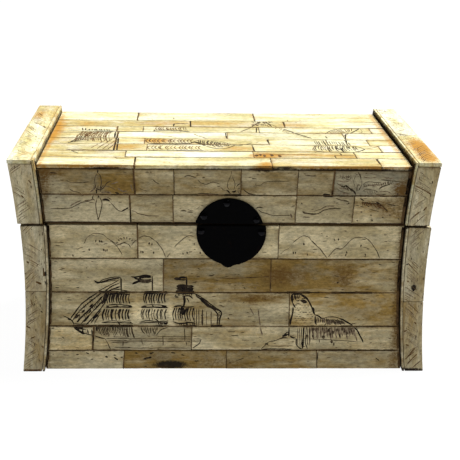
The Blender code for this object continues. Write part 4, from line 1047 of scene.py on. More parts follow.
def inside(outline, points):
    x, y = points[:, :1], points[:, 1:]
    a = outline
    b = np.roll(outline, -1, axis=0)
    rise = b[:, 1] - a[:, 1]
    rise[rise == 0] = 1e-12
    across = (a[:, 1] > y) != (b[:, 1] > y)
    hits = across & (x < (b[:, 0] - a[:, 0]) * (y - a[:, 1]) / rise + a[:, 0])
    return hits.sum(1) % 2 == 1


def tile_outline(low, high, left, right, seed, waver=0.07, chips=0.5):
    """Hand-cut outline between two levels; left and right give its sides at each level."""

    def run(start, end):
        start, end = np.array(start, float), np.array(end, float)
        count = max(2, int(np.linalg.norm(end - start) / OUTLINE_STEP))
        return [tuple(start + (end - start) * i / count) for i in range(count + 1)]

    def turn(centre_u, centre_v, first):
        return [(centre_u + CORNER * math.cos(math.radians(first + a)),
                 centre_v + CORNER * math.sin(math.radians(first + a))) for a in (22.5, 67.5)]

    heights = np.linspace(low + CORNER, high - CORNER, max(3, int((high - low) / OUTLINE_STEP)))
    points = run((left(low) + CORNER, low), (right(low) - CORNER, low))
    points += turn(right(low + CORNER) - CORNER, low + CORNER, 270)
    points += [(right(v), v) for v in heights]
    points += turn(right(high - CORNER) - CORNER, high - CORNER, 0)
    points += run((right(high) - CORNER, high), (left(high) + CORNER, high))
    points += turn(left(high - CORNER) + CORNER, high - CORNER, 90)
    points += [(left(v), v) for v in heights[::-1]]
    points += turn(left(low + CORNER) + CORNER, low + CORNER, 180)
    outline = np.array(points)
    inward = inward_normals(outline)
    for i, (u, v) in enumerate(outline.copy()):
        drift = 0.5 + 0.5 * noise.noise((u / 7, v / 7, seed * 1.7))
        chip = max(0.0, noise.noise((u / 2.3, v / 2.3, seed * 3.1 + 40)) - 0.34)
        outline[i] += inward[i] * (waver * 2 * drift + chips * chip)
    return outline


# Pieces

def ring_faces(gaps, size):
    """Faces that fill the gaps between rings of points."""
    rows = [(i * size + k, i * size + (k + 1) % size) for i in range(gaps) for k in range(size)]
    return [(a, b, b + size, a + size) for a, b in rows]


class Cladding:
    """Tiles, strips or metal that stand for one CAD node, gathered in one mesh."""

    def __init__(self, seed):
        self.random = random.Random(seed)
        self.seed = seed
        self.points, self.faces, self.slots = [], [], []
        self.place, self.tone, self.edge, self.grime_and_shade = [], [], [], []
        self.count = 0

    def add(self, points, faces, slots, place, warm=0.0, light=1.0, edge=9.0, grime_and_shade=0.0):
        size = len(points)
        self.points.append(points)
        self.faces += [tuple(i + self.count for i in face) for face in faces]
        self.slots += slots
        self.place.append(place)
        self.tone.append(np.c_[np.full(size, warm) + blend(OCHRE, points),
                               np.full(size, light) + blend(PALE_AND_SHADE, points),
                               blend(STAINS_AND_SHADE, points)])
        self.edge.append(np.full(size, edge))
        self.grime_and_shade.append(np.full(size, grime_and_shade) + blend(GRIME_AND_SHADE, points))
        self.count += size

    def ribbons(self, outline, strokes):
        """Points, facets and groove depths of the strokes that cross a tile."""
        points, facets, kinds, depths = [], [], [], []
        low = outline.min(axis=0)
        high = outline.max(axis=0)
        for path, widths, slot in strokes:
            if (path.max(axis=0) < low).any() or (path.min(axis=0) > high).any():
                continue
            kept = inside(outline, path)
            room = np.zeros(len(path))
            room[kept] = distance_to(outline, path[kept])
            kept = room > 2 * STROKE_MARGIN
            widths = np.minimum(widths, 2 * (room - STROKE_MARGIN))
            heading = np.gradient(path, axis=0)
            heading /= np.maximum(np.linalg.norm(heading, axis=1), 1e-9)[:, None]
            side = np.stack((-heading[:, 1], heading[:, 0]), axis=1) * widths[:, None] / 2
            last = None
            for i in np.flatnonzero(kept):
                first = len(points)
                points += [path[i] + side[i], path[i], path[i] - side[i]]
                depths += [0.0, GROOVE[slot], 0.0]
                if last is not None and last[0] == i - 1:
                    back = last[1]
                    for facet in ((back + 2, first + 2, first + 1, back + 1),
                                  (back + 1, first + 1, first, back)):
                        if turns_left([points[k] for k in facet]):
                            facets.append(facet)
                            kinds.append(slot)
                last = (i, first)
        return points, facets, kinds, depths

    def tile(self, outline, surface, thickness, strokes=(), warm=0.2, light=1.0, grain_up=False,
             spacing=FRONT_SPACING, rounding=ROUNDING, lift=0.0, tilt=0.004, relief=0.06,
             scale=11.0, ceiling=9.0, clean=0.0):
        """A closed tile whose face follows surface(u, v, w), with w measured outwards.

        A clean tile has less dirt by its edges.
        """
        inward = inward_normals(outline)
        rings = [outline + inward * rounding * share for share in (0.0, 0.3, 1.0)]
        count = len(outline)
        low = outline.min(axis=0)
        high = outline.max(axis=0)
        grid = []
        for j, v in enumerate(np.arange(low[1], high[1], spacing)):
            for u in np.arange(low[0] + (j % 2) * spacing / 2, high[0], spacing):
                grid.append((u + self.random.uniform(-0.15, 0.15) * spacing,
                             v + self.random.uniform(-0.15, 0.15) * spacing))
        grid = np.array(grid)
        grid = grid[inside(outline, grid)]
        grid = grid[distance_to(outline, grid) > rounding + 0.45 * spacing]
        drawn, facets, kinds, depths = self.ribbons(outline, strokes)
        before = count * len(rings) + len(grid)
        given = np.vstack((*rings, grid, np.array(drawn).reshape(-1, 2)))
        groove = np.r_[np.zeros(before), depths]
        edges = [(k * count + i, k * count + (i + 1) % count) for k in (1, 2) for i in range(count)]
        shapes = [list(range(count))] + [[i + before for i in facet] for facet in facets]
        result = delaunay_2d_cdt([Vector(p) for p in given], edges, shapes, 0, 1e-4, True)
        flat = np.array([tuple(p) for p in result[0]])
        faces, slots = [], []
        for face, owners in zip(result[2], result[5]):
            if 0 in owners:
                faces.append(tuple(face))
                over = max(owners)
                slots.append(kinds[over - 1] if over else BONE)
        far = distance_to(outline, flat)
        roll = np.clip(1 - far / rounding, 0, 1)
        w = -rounding * (1 - np.sqrt(1 - roll ** 2))
        middle = (low + high) / 2
        lean = np.array((self.random.uniform(-tilt, tilt), self.random.uniform(-tilt, tilt) * 2))
        shift = self.random.uniform(0, 500)
        waves = np.array([noise.noise((u / scale, v / scale, shift))
                          + 0.4 * noise.noise((u / scale * 3, v / scale * 3, shift + 9))
                          for u, v in flat])
        w += lift + (flat - middle) @ lean + relief * waves
        w = np.minimum(w, ceiling)
        rim = {}
        for i, owners in enumerate(result[3]):
            if owners:
                w[i] -= groove[owners].max()
                for owner in owners:
                    if owner < count:
                        rim[owner] = i
        flank = np.full(count, -0.35 * thickness)
        uvw = np.vstack((np.c_[flat, w], np.c_[outline, flank],
                         np.c_[outline, np.full(count, -thickness)]))
        total = len(flat)
        for i in range(count):
            j = (i + 1) % count
            faces.append((rim[i], rim[j], total + j, total + i))
            faces.append((total + i, total + j, total + count + j, total + count + i))
        faces.append(tuple(total + count + i for i in reversed(range(count))))
        slots += [BONE] * (2 * count + 1)
        points = surface(uvw[:, 0], uvw[:, 1], uvw[:, 2])
        order = (1, 0, 2) if grain_up else (0, 1, 2)
        offset = np.array([self.random.uniform(0, 900) for _ in range(3)])
        edge = np.r_[far + clean, np.full(2 * count, 0.7 + clean)]
        self.add(points, faces, slots, uvw[:, order] + offset, warm, light, edge)

    def filler(self, corners, surface, thickness):
        """Dark filler in a joint, whose four corners run anticlockwise."""
        corners = np.array(corners, float)
        along_first, along_last = np.linalg.norm(corners[[1, 3]] - corners[0], axis=1)
        steps = max(2, int(along_first / 4), int(along_last / 4))
        a, b, c, d = corners if along_first > along_last else corners[[1, 2, 3, 0]]
        uvw, faces = [], []
        for i in range(steps + 1):
            share = i / steps
            near, far = a + (b - a) * share, d + (c - d) * share
            top = -FILLER_DEPTH + self.random.uniform(-0.08, 0.05)
            uvw += [(*near, top), (*far, top), (*far, -thickness), (*near, -thickness)]
            if i:
                first = 4 * i - 4
                faces += [(first + k, first + (k + 1) % 4, first + 4 + (k + 1) % 4, first + 4 + k)
                          for k in range(4)]
        faces += [(0, 1, 2, 3), tuple(4 * steps + k for k in (3, 2, 1, 0))]
        uvw = np.array(uvw)
        points = surface(uvw[:, 0], uvw[:, 1], uvw[:, 2])
        self.add(points, faces, [FILLER] * len(faces), uvw)

    def bar(self, keys, near_x, side, thickness, warm, light, dirt_and_shade):
        """A strip across X that follows pairs of outer and inner places in Y and Z.

        Its near side stands over the panels, and the last argument says how much dirt and painted shade lie
        there, from the place and the depth.
        """
        stations = []
        for (outer, inner), (next_outer, next_inner) in zip(keys, keys[1:]):
            outer, inner = np.array(outer, float), np.array(inner, float)
            steps = max(1, int(np.linalg.norm(np.array(next_outer) - outer) / BAR_STEP))
            for i in range(steps):
                stations.append((outer + (next_outer - outer) * i / steps,
                                 inner + (next_inner - inner) * i / steps))
        stations.append((np.array(keys[-1][0], float), np.array(keys[-1][1], float)))
        points, place, edge, grime_and_shade = [], [], [], []
        seed = self.random.uniform(0, 500)
        last = len(stations) - 1
        for i, (outer, inner) in enumerate(stations):
            corners = [np.array((side * (near_x(p[1]) + off), p[0], p[1]))
                       for p, off in ((outer, 0.0), (outer, thickness), (inner, thickness),
                                      (inner, 0.0))]
            centre = sum(corners) / 4
            shrink = 0.94 if i in (0, last) else 1.0
            ring = []
            for k, corner in enumerate(corners):
                before = corners[k - 1] - corner
                after = corners[(k + 1) % 4] - corner
                before_unit = before / np.linalg.norm(before)
                after_unit = after / np.linalg.norm(after)
                wear = BAR_ROUNDING * (1 + 0.6 * noise.noise((i / 5, k * 9.0, seed)))
                ring += [(corner + before_unit * wear, 0.35),
                         (corner + (before_unit + after_unit) * wear * 0.3, 0.25),
                         (corner + after_unit * wear, 0.35)]
                shares = (0.2, 0.4, 0.6, 0.8)[::-1] if k == 3 else (0.5,)
                ring += [(corner + after * share, 1.2) for share in shares]
            for spot, far in ring:
                depth = np.linalg.norm(spot - corners[0])
                near = abs(spot[0]) < abs(centre[0]) - 0.3 * thickness
                points.append(centre + (spot - centre) * shrink)
                place.append((i * BAR_STEP, spot[1] - spot[2], spot[0]))
                edge.append(far)
                grime_and_shade.append(dirt_and_shade(outer, depth) if near else 0.0)
        size = len(ring)
        faces = ring_faces(last, size)
        faces += [tuple(range(size)), tuple(last * size + k for k in reversed(range(size)))]
        self.add(np.array(points), faces, [BONE] * len(faces), np.array(place) + seed, warm, light,
                 np.array(edge), np.array(grime_and_shade))

    def finish(self, name, node, slot, materials):
        mesh = bpy.data.meshes.new(name)
        mesh.from_pydata((np.vstack(self.points) * MM).tolist(), [], self.faces)
        mesh.polygons.foreach_set("material_index", self.slots)
        shape = bmesh.new()
        shape.from_mesh(mesh)
        bmesh.ops.recalc_face_normals(shape, faces=shape.faces)
        shape.to_mesh(mesh)
        shape.free()
        for key, kind, values in (("grain_place", "FLOAT_VECTOR", np.vstack(self.place)),
                                  ("tile_tone", "FLOAT_VECTOR", np.vstack(self.tone)),
                                  ("tile_edge", "FLOAT", np.concatenate(self.edge)),
                                  ("grime_and_shade", "FLOAT", np.concatenate(self.grime_and_shade))):
            layer = mesh.attributes.new(key, kind, "POINT")
            layer.data.foreach_set("vector" if kind == "FLOAT_VECTOR" else "value",
                                   values.astype(np.float32).ravel())
        mesh.shade_smooth()
        mesh.set_sharp_from_angle(angle=SHARP_ANGLE)
        for material in materials:
            mesh.materials.append(material)
        piece = bpy.data.objects.new(name, mesh)
        bpy.context.scene.collection.objects.link(piece)
        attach(piece, ROOT)
        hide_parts(node)


def bone_set(bone):
    return bone, JOINT_FILLER, SCRIMSHAW_INK, PORE_DIRT, SCRATCH_DIRT, FADED_INK, BROWN_INK


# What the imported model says

def node_points(name):
    """A CAD node's own points, each once."""
    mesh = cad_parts[name].data
    places = np.empty(len(mesh.vertices) * 3, np.float32)
    mesh.vertices.foreach_get("co", places)
    return np.unique((places.reshape(-1, 3).astype(float) / MM).round(2), axis=0)


def row_cuts(name, across, depth):
    """The levels across a row, and at each the places along X where its tiles start and end."""
    points = node_points(name)
    out = np.abs(points[:, depth])
    sunk = (out > out.min() + 0.2) & (out < out.max() - 0.2)
    levels = np.unique(points[:, across])
    cuts = []
    for level in levels:
        here = points[:, across] == level
        xs = points[here, 0]
        cuts.append([xs.min(), *np.unique(points[here & sunk, 0]), xs.max()])
    return levels, np.array(cuts), out.max(), out.max() - out.min()


def side_curves(name):
    """Near and far side of a piece of an end board, as functions of height."""
    points = node_points(name)
    levels = np.unique(points[:, 2])
    out = np.abs(points[:, 0])
    near = [out[points[:, 2] == level].min() for level in levels]
    far = [out[points[:, 2] == level].max() for level in levels]
    return np.poly1d(np.polyfit(levels, near, 4)), np.poly1d(np.polyfit(levels, far, 4))


def room_at_ends(k, stops, gap):
    """What piece k leaves free at its start and its end: nothing at the first and the last stop."""
    return gap if k else 0.0, gap if k < len(stops) - 2 else 0.0


# Rows of tiles: warmth and lightness of each tile, where they show in the photograph
TONES = {
    "body_front_row_1": ((0.15, 0.96), (0.80, 0.88), (0.60, 0.84), (0.35, 0.84)),
    "body_front_row_2": ((0.20, 1.38), (0.15, 0.80), (0.15, 1.0)),
    "body_front_row_3": ((0.15, 0.92), (0.55, 1.10)),
    "body_front_row_4": ((0.02, 0.92), (0.54, 0.74), (0.36, 0.84)),
    "body_front_row_5": ((-0.04, 1.05), (0.02, 0.98), (-0.10, 1.08)),
    "lid_front_row_1": ((-0.30, 0.96), (0.10, 0.86), (0.05, 0.90), (-0.20, 0.94), (0.20, 1.0)),
    "lid_front_row_2": ((0.45, 0.76), (0.30, 0.86), (0.30, 0.84), (0.32, 0.76), (0.30, 0.76),
                        (-0.50, 0.74)),
    "lid_top_row_1": ((0.08, 1.02), (0.15, 1.00), (0.45, 0.98), (-0.10, 1.12)),
    "lid_top_row_2": ((0.40, 0.96), (-0.20, 1.08), (0.60, 0.96), (0.05, 1.08)),
    "lid_top_row_3": ((0.35, 0.98), (0.50, 0.96), (0.30, 1.04), (0.25, 1.04), (0.20, 0.98),
                      (-0.50, 1.12)),
    "lid_top_row_4": ((0.35, 0.96), (0.25, 0.98), (0.40, 0.98), (0.15, 0.98), (0.10, 1.0),
                      (0.0, 1.0), (0.20, 1.0)),
    "lid_top_row_5": ((0.35, 0.94), (-0.30, 1.08), (0.10, 0.96), (-0.30, 1.12)),
    "lid_top_row_6": ((0.25, 1.0), (0.25, 0.96), (0.42, 0.94), (0.25, 1.0), (-0.30, 1.15)),
    "lid_top_row_7": ((0.40, 0.95), (0.40, 0.96), (0.05, 1.02)),
    "lid_top_row_8": ((0.05, 1.10), (0.10, 1.04), (0.10, 1.08)),
}
# Joints that stand open: row, number of the joint from the left, half its width
OPEN_JOINTS = {
    ("lid_front_row_2", 1): 0.40, ("lid_front_row_2", 5): 0.42, ("lid_front_row_1", 1): 0.30,
    ("lid_front_row_1", 5): 0.30, ("body_front_row_2", 1): 0.42, ("body_front_row_1", 1): 0.20,
    ("body_front_row_5", 1): 0.22, ("lid_top_row_1", 1): 0.36, ("lid_top_row_8", 1): 0.32,
    ("lid_top_row_8", 2): 0.32, ("lid_top_row_7", 1): 0.36, ("lid_top_row_7", 2): 0.30,
    ("lid_top_row_3", 1): 0.36, ("lid_top_row_4", 1): 0.40, ("lid_top_row_5", 1): 0.42,
    ("lid_top_row_6", 1): 0.36,
}


def make_row(node, across, depth, surface, strokes, bone, slot, spacing, seed, above, look):
    """The tiles of one row, cut where the CAD row has its grooves, above another row or not.

    The look is the ranges of warmth and lightness, the pores on each square millimetre, and how
    far the tiles stand back from the joints with the rows beside them.
    """
    warmths, lights, pore_share, back = look
    levels, cuts, face, thickness = row_cuts(node, across, depth)
    row = Cladding(seed)
    low, high = levels[0], levels[-1]
    last = cuts.shape[1] - 1
    gaps = [0.0]
    for k in range(1, last):
        gaps.append(OPEN_JOINTS.get((node, k), row.random.uniform(0.05, 0.13)))
    gaps.append(0.0)
    tones = TONES.get(node)

    def side(k, off):
        return lambda v: float(np.interp(v, levels, cuts[:, k])) + off

    own = surface(face)
    for k in range(last):
        warm, light = tones[k] if tones else (row.random.uniform(*warmths),
                                              row.random.uniform(*lights))
        outline = tile_outline(low + back + row.random.uniform(0.0, 0.08),
                               high - back - row.random.uniform(0, 0.08),
                               side(k, gaps[k]), side(k + 1, -gaps[k + 1]), seed + k * 0.37)
        pores = Pen(seed * 31 + k)
        area = (high - low) * (cuts[0, k + 1] - cuts[0, k])
        scatter_pits(pores, (cuts[0, k], low), (cuts[0, k + 1], high), int(area * pore_share))
        row.tile(outline, own, thickness, list(strokes) + pores.strokes, warm, light,
                 spacing=spacing, lift=row.random.uniform(-0.14, 0.04))
        if k:
            u_low, u_high = side(k, 0.0)(low), side(k, 0.0)(high)
            wide = gaps[k] + 0.12
            row.filler(((u_low - wide, low), (u_low + wide, low), (u_high + wide, high),
                        (u_high - wide, high)), own, thickness)
    if above:
        u_low, u_high = cuts[0, 0], cuts[0, -1]
        row.filler(((u_low, low - 0.5), (u_high, low - 0.5), (u_high, low + 0.2),
                    (u_low, low + 0.2)), own, thickness)
    row.finish(f"{node}_tiles", node, slot, bone_set(bone))


def make_panels():
    """Front, back and top."""
    front = Pen(11)
    draw_ship(front)
    draw_seal(front)
    hills = Pen(14, 1.0, FADED)
    draw_landscape(hills)
    front.strokes += hills.strokes
    front.curve(((-5.0, 60.2), (6.0, 60.0), (18.0, 60.6), (26.8, 61.0)), 0.5, FILLER)
    lid = Pen(12, 0.75, FADED)
    draw_lid_front(lid)
    top = Pen(13, 1.0, BROWN)
    draw_lid_top(top)
    draw_dirt_and_shade(front, lid)

    def forward(face):
        return lambda u, v, w: np.c_[u, -(face + w), v]

    def backward(face):
        return lambda u, v, w: np.c_[u, face + w, v]

    def upward(face):
        return lambda u, v, w: np.c_[u, v, face + w]

    front_look = ((0.1, 0.4), (0.9, 1.0), 0.010, 0.0)
    plain_look = ((0.1, 0.55), (0.84, 1.0), 0.006, 0.0)
    top_look = ((0.05, 0.55), (0.9, 1.04), 0.004, 0.12)
    for part, count, pen, seed in (("body", 5, front, 100), ("lid", 2, lid, 300)):
        for number in range(1, count + 1):
            make_row(f"{part}_front_row_{number}", 2, 1, forward, pen.strokes, SHADED_FRONT_BONE,
                     "front_bone", FRONT_SPACING, seed + number, number > 1, front_look)
            make_row(f"{part}_back_row_{number}", 2, 1, backward, (), SHADED_FRONT_BONE, "front_bone",
                     PLAIN_SPACING, seed + 100 + number, number > 1, plain_look)
    for number in range(1, 9):
        make_row(f"lid_top_row_{number}", 1, 2, upward, top.strokes, LIT_TOP_BONE, "top_bone",
                 FRONT_SPACING, 500 + number, number > 1, top_look)


def scratch_post(pen, low_z, high_z, left):
    """Saw marks across the bone of an end board, in patches."""
    z = low_z
    while z < high_z:
        lean = pen.random.choice((-0.9, -0.6, 0.7, 1.0))
        patch = pen.random.uniform(5, 14)
        step = pen.random.uniform(0.8, 1.5)
        start = z
        while z < min(high_z, start + patch):
            u = pen.random.uniform(left(z), left(z) + 4)
            reach = pen.random.uniform(2.5, 7.5)
            pen.curve(((u, z), (u + reach * 0.5, z + reach * 0.5 * lean + 0.2),
                       (u + reach, z + reach * lean)), pen.random.uniform(0.18, 0.42),
                      pen.random.choice((SCRATCH, SCRATCH, BROWN)))
            z += step
        z += pen.random.uniform(1, 7)


# Marks of wear that show on the facings and the bands: what fills each, its width and its places
WEAR = {
    "body_facing_front_left": (
        (INK, 0.9, -104.4, 68.6, -105.6, 64.6, -105, 60), (BROWN, 0.9, -106.6, 67.6, -106.4, 62),
        (INK, 1.2, -105.6, 58.6, -104.6, 57.4), (BROWN, 1.3, -111.4, 58.6, -108.2, 57.4),
        (BROWN, 1, -116.2, 71.6, -114.8, 70.6), (BROWN, 1.2, -109.4, 17.2, -108.4, 15.8),
        (INK, 1, -109, 40, -108, 39), (BROWN, 0.6, -114.6, 47.6, -114, 43.6),
        (BROWN, 1, -118, 30, -115.6, 28.6), (BROWN, 0.6, -116, 22, -113, 23.4),
        (BROWN, 1, -120.6, 1, -108, 0.9)),
    "body_facing_front_right": (
        (INK, 0.8, 106.6, 66, 107.2, 69.6, 109.8, 71),
        (BROWN, 0.5, 109.8, 71, 113, 67.6, 116.4, 64), (INK, 0.9, 114.1, 55.4, 114.2, 53),
        (BROWN, 0.9, 110, 60, 110.8, 59), (BROWN, 1, 110, 26, 112, 27.6),
        (BROWN, 1, 116, 33, 117.4, 31.6), (BROWN, 0.7, 112.6, 8, 118, 15.4),
        (BROWN, 0.6, 110.4, 6, 117.4, 13), (BROWN, 0.7, 114, 5, 119.4, 11.4),
        (BROWN, 1, 112, 18, 114, 17), (INK, 1.2, 109, 1, 120.4, 0.9)),
    "lid_facing_front_right": (
        (BROWN, 0.6, 109.6, 119.8, 113, 117.8, 116, 116.6, 119.8, 114.2),
        (BROWN, 0.7, 116, 104, 118, 106.6), (BROWN, 0.7, 111, 101, 114, 103.4)),
    "lid_facing_front_left": (
        (INK, 1, -108.2, 96.4, -107, 95), (BROWN, 1, -117.6, 112, -116, 110.4),
        (BROWN, 0.9, -113, 121, -111.4, 119)),
    "lid_band_left": (
        (FADED, 0.6, -122.6, 15.2, -119, 15.3, -115, 15.1),
        (INK, 1.1, -114.8, 15, -112.6, 14.7, -110.4, 14.9), (INK, 2, -111.4, 15, -110.2, 13),
        (INK, 1, -114.4, 16.9, -112.6, 17), (FADED, 1.2, -116, -14.4, -115, -15.6),
        (FADED, 1.2, -113.4, -17.6, -112.6, -18.6), (FADED, 1.2, -114.4, -41.4, -113.6, -42.8),
        (BROWN, 1.2, -122, 44, -119, 40)),
    "lid_band_right": tuple(
        (BROWN, 0.26 + 0.1 * (k % 3), 114.4 + 0.2 * k, -70 + 3.2 * k, 117.4 + 0.1 * k,
         -63.6 + 3.2 * k, 122.6, -58 + 3.2 * k) for k in range(9)),
}


def add_wear(pen, node):
    for slot, width, *places in WEAR.get(node, ()):
        pen.curve(places, width, slot, wobble=0.25, taper=0.6)


def make_ends():
    """Facings, bands, strips and outer tiles of both end boards."""
    for end, side, seed in (("left", -1, 600), ("right", 1, 700)):
        strip_near = side_curves(f"lid_strip_{end}")[0]
        body_near, body_far = side_curves(f"body_strip_front_{end}")
        strip_width = float(body_far(10.0) - body_near(10.0))
        for edge, front in (("front", -1), ("back", 1)):
            for part, light in (("lid", 1.04), ("body", 0.955 + 0.025 * side)):
                make_facing(f"{part}_facing_{edge}_{end}", side, front, light, seed + 3 * front)
            node = f"body_strip_{edge}_{end}"
            low, high = (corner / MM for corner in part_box(node))
            proud, back = sorted((low.y, high.y), key=abs, reverse=True)
            strip = Cladding(seed + 20 + front)
            # Dirt and painted shade darken the strip's side next to the panels
            strip.bar((((proud, low.z), (back, low.z)), ((proud, high.z), (back, high.z))),
                      body_near, side, strip_width, 0.10, 1.08,
                      lambda place, depth: 1.6 * min(1.0, depth / 1.2))
            strip.finish(f"{node}_bone", node, "edge_bone", bone_set(EDGE_BONE))
        make_lid_strip(end, side, strip_near, strip_width, seed + 30)
        make_band(end, side, seed + 40)
        for part in ("body", "lid"):
            make_end_tiles(f"{part}_end_tiles_{end}", side, seed + 50)


def make_facing(node, side, front, light, seed):
    points = node_points(node)
    near, far = side_curves(node)
    low, high = points[:, 2].min(), points[:, 2].max()
    face, back = np.abs(points[:, 1]).max(), np.abs(points[:, 1]).min()
    out = np.abs(points[:, 1])
    sunk = points[(out < face - 0.3) & (out > back + 0.3), 2]
    stops = [low, *np.unique(sunk), high]
    piece = Cladding(seed)
    first, second = (near, far) if side > 0 else (far, near)
    for k, (start, end) in enumerate(zip(stops, stops[1:])):
        gap_low, gap_high = room_at_ends(k, stops, 0.1)
        outline = tile_outline(start + gap_low, end - gap_high,
                               lambda v: side * float(first(v)), lambda v: side * float(second(v)),
                               seed + k * 0.41, chips=0.25, waver=0.03)
        pen = Pen(seed * 7 + k)
        spacing = FRONT_SPACING if front < 0 else PLAIN_SPACING
        scratch_post(pen, start, end, lambda v: side * float(first(v)))
        add_wear(pen, node)
        scatter_pits(pen, (outline[:, 0].min(), start), (outline[:, 0].max(), end),
                     int((end - start) * 0.4), False)
        piece.tile(outline, lambda u, v, w: np.c_[u, front * (face + w), v], face - back,
                   pen.strokes, piece.random.uniform(0.15, 0.4), light, spacing=spacing,
                   **POST_LOOK)
    piece.finish(f"{node}_bone", node, "edge_bone", bone_set(EDGE_BONE))


def make_band(end, side, seed):
    node = f"lid_band_{end}"
    points = node_points(node)
    top = points[:, 2].max()
    under = points[:, 2].min()
    upper = points[points[:, 2] > top - 0.05]
    x_low, x_high = upper[:, 0].min(), upper[:, 0].max()
    sunk = points[(points[:, 2] < top - 0.3) & (points[:, 2] > under + 0.3)]
    sunk = sunk[np.argsort(sunk[:, 0])]
    joint = sunk[:, 1].mean()
    slope = (sunk[-1, 1] - sunk[0, 1]) / (sunk[-1, 0] - sunk[0, 0])
    middle = sunk[:, 0].mean()
    reach = points[:, 1].max()
    stops = [-reach, joint, reach]
    piece = Cladding(seed)

    def surface(u, v, w):
        share = np.where(v < joint, (v + reach) / (joint + reach), (reach - v) / (reach - joint))
        return np.c_[u, v + slope * (u - middle) * share, top + w]

    warmths = (0.10, 0.20) if side < 0 else (0.10, -0.40)
    for k, (start, stop) in enumerate(zip(stops, stops[1:])):
        gap_start, gap_stop = room_at_ends(k, stops, HALF_JOINT)
        outline = tile_outline(start + gap_start, stop - gap_stop, lambda v: x_low,
                               lambda v: x_high, seed + k * 0.47, chips=0.25, waver=0.03)
        pen = Pen(seed * 5 + k)
        scratch_post(pen, start, stop, lambda v: x_low)
        add_wear(pen, node)
        piece.tile(outline, surface, top - under, pen.strokes, warmths[k], (1.10, 1.06)[k],
                   **POST_LOOK)
    piece.finish(f"{node}_bone", node, "top_bone", bone_set(LIT_TOP_BONE))


def make_lid_strip(end, side, near, width, seed):
    node = f"lid_strip_{end}"
    low, high = (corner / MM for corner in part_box(node))
    points = node_points(node)
    inner_y = np.unique(np.abs(points[:, 1]))[-2]
    inner_z = np.unique(points[:, 2])[-2]
    bend = 2.0 * (high.z - inner_z)
    turn = high.z - bend
    keys = (((low.y, low.z), (-inner_y, low.z)), ((low.y, turn), (-inner_y, turn)),
            ((low.y, high.z), (-inner_y, inner_z)),
            ((low.y + bend, high.z), (low.y + bend, inner_z)),
            ((high.y - bend, high.z), (high.y - bend, inner_z)),
            ((high.y, high.z), (inner_y, inner_z)),
            ((high.y, turn), (inner_y, turn)), ((high.y, low.z), (inner_y, low.z)))
    rise_dirt_and_shade, strength = (2.8, 0.6) if side < 0 else (1.3, 1.6)  # dirt and painted shade start below its crown, higher and stronger on the right, whose side lies in shade

    def dirt_and_shade(place, depth):
        start = rise_dirt_and_shade if place[1] > inner_z else 0.0
        full = strength if place[0] > -inner_y + 1.0 else 1.6
        return full * min(1.0, max(0.0, depth - start) / 1.2)

    piece = Cladding(seed)
    piece.bar(keys, near, side, width, 0.14, 1.08, dirt_and_shade)
    piece.finish(f"{node}_bone", node, "top_bone", bone_set(LIT_TOP_BONE))


def make_end_tiles(node, side, seed):
    points = node_points(node)
    out = np.abs(points[:, 0])
    reach = points[:, 1].max()
    levels = np.unique(points[:, 2])
    corner = {level: out[(points[:, 2] == level) & (points[:, 1] == reach)] for level in levels}
    thickness = max(xs.max() - xs.min() for xs in corner.values())
    joints = [level for level, xs in corner.items() if xs.max() - xs.min() < thickness - 0.3]
    plain = [level for level in levels if level not in joints]
    curve = np.poly1d(np.polyfit(plain, [corner[level].max() for level in plain], 4))
    stops = [levels[0], *joints, levels[-1]]
    piece = Cladding(seed)

    def surface(u, v, w):
        return np.c_[side * (curve(v) + w), u, v]

    for k, (low, high) in enumerate(zip(stops, stops[1:])):
        within = (points[:, 2] > low + 1) & (points[:, 2] < high - 1)
        sunk = within & (np.abs(points[:, 1]) < reach - 1) & (curve(points[:, 2]) - out > 0.4)
        cuts = [-reach, *np.unique(points[sunk, 1]), reach]
        gap_low, gap_high = room_at_ends(k, stops, 0.12)
        for j, (near, far) in enumerate(zip(cuts, cuts[1:])):
            gap_left, gap_right = room_at_ends(j, cuts, HALF_JOINT)
            outline = tile_outline(low + gap_low, high - gap_high, lambda v: near + gap_left,
                                   lambda v: far - gap_right, seed + k * 3.1 + j * 0.7,
                                   waver=0.04, chips=0.2)
            pores = Pen(seed * 17 + k * 5 + j)
            scatter_pits(pores, (near, low), (far, high), int((high - low) * (far - near) * 0.006))
            piece.tile(outline, surface, thickness, pores.strokes, piece.random.uniform(0.1, 0.5),
                       piece.random.uniform(0.86, 1.0), spacing=PLAIN_SPACING,
                       rounding=0.10, lift=piece.random.uniform(-0.05, -0.02), tilt=0.0003,
                       ceiling=0.0, clean=0.5)
            if j:
                piece.filler(((near - 0.3, low), (near + 0.3, low), (near + 0.3, high),
                              (near - 0.3, high)), surface, thickness)
        if k:
            piece.filler(((-reach + 0.4, low - 0.3), (reach - 0.4, low - 0.3),
                          (reach - 0.4, low + 0.3), (-reach + 0.4, low + 0.3)), surface, thickness)
    piece.finish(f"{node}_bone", node, "edge_bone", bone_set(EDGE_BONE))


# Lock plate and nails

def make_plate(node, seed):
    points = node_points(node)
    face, back = -points[:, 1].min(), -points[:, 1].max()
    rim = points[points[:, 1] == points[:, 1].max()][:, (0, 2)]
    middle = rim.mean(axis=0)
    turn = np.arctan2(rim[:, 1] - middle[1], rim[:, 0] - middle[0])
    rim = rim[np.argsort(turn)]
    ends = np.roll(rim, -1, axis=0)
    outline = []
    for a, b in zip(rim, ends):
        steps = max(1, int(np.linalg.norm(b - a) / 1.2))
        outline += [a + (b - a) * i / steps for i in range(steps)]
    piece = Cladding(seed)
    piece.tile(np.array(outline), lambda u, v, w: np.c_[u, -(face + w), v], face - back,
               spacing=0.8, rounding=0.38, lift=-0.06, tilt=0.0, relief=0.09, scale=3.2)
    piece.finish(f"{node}_iron", node, "iron", (IRON,))


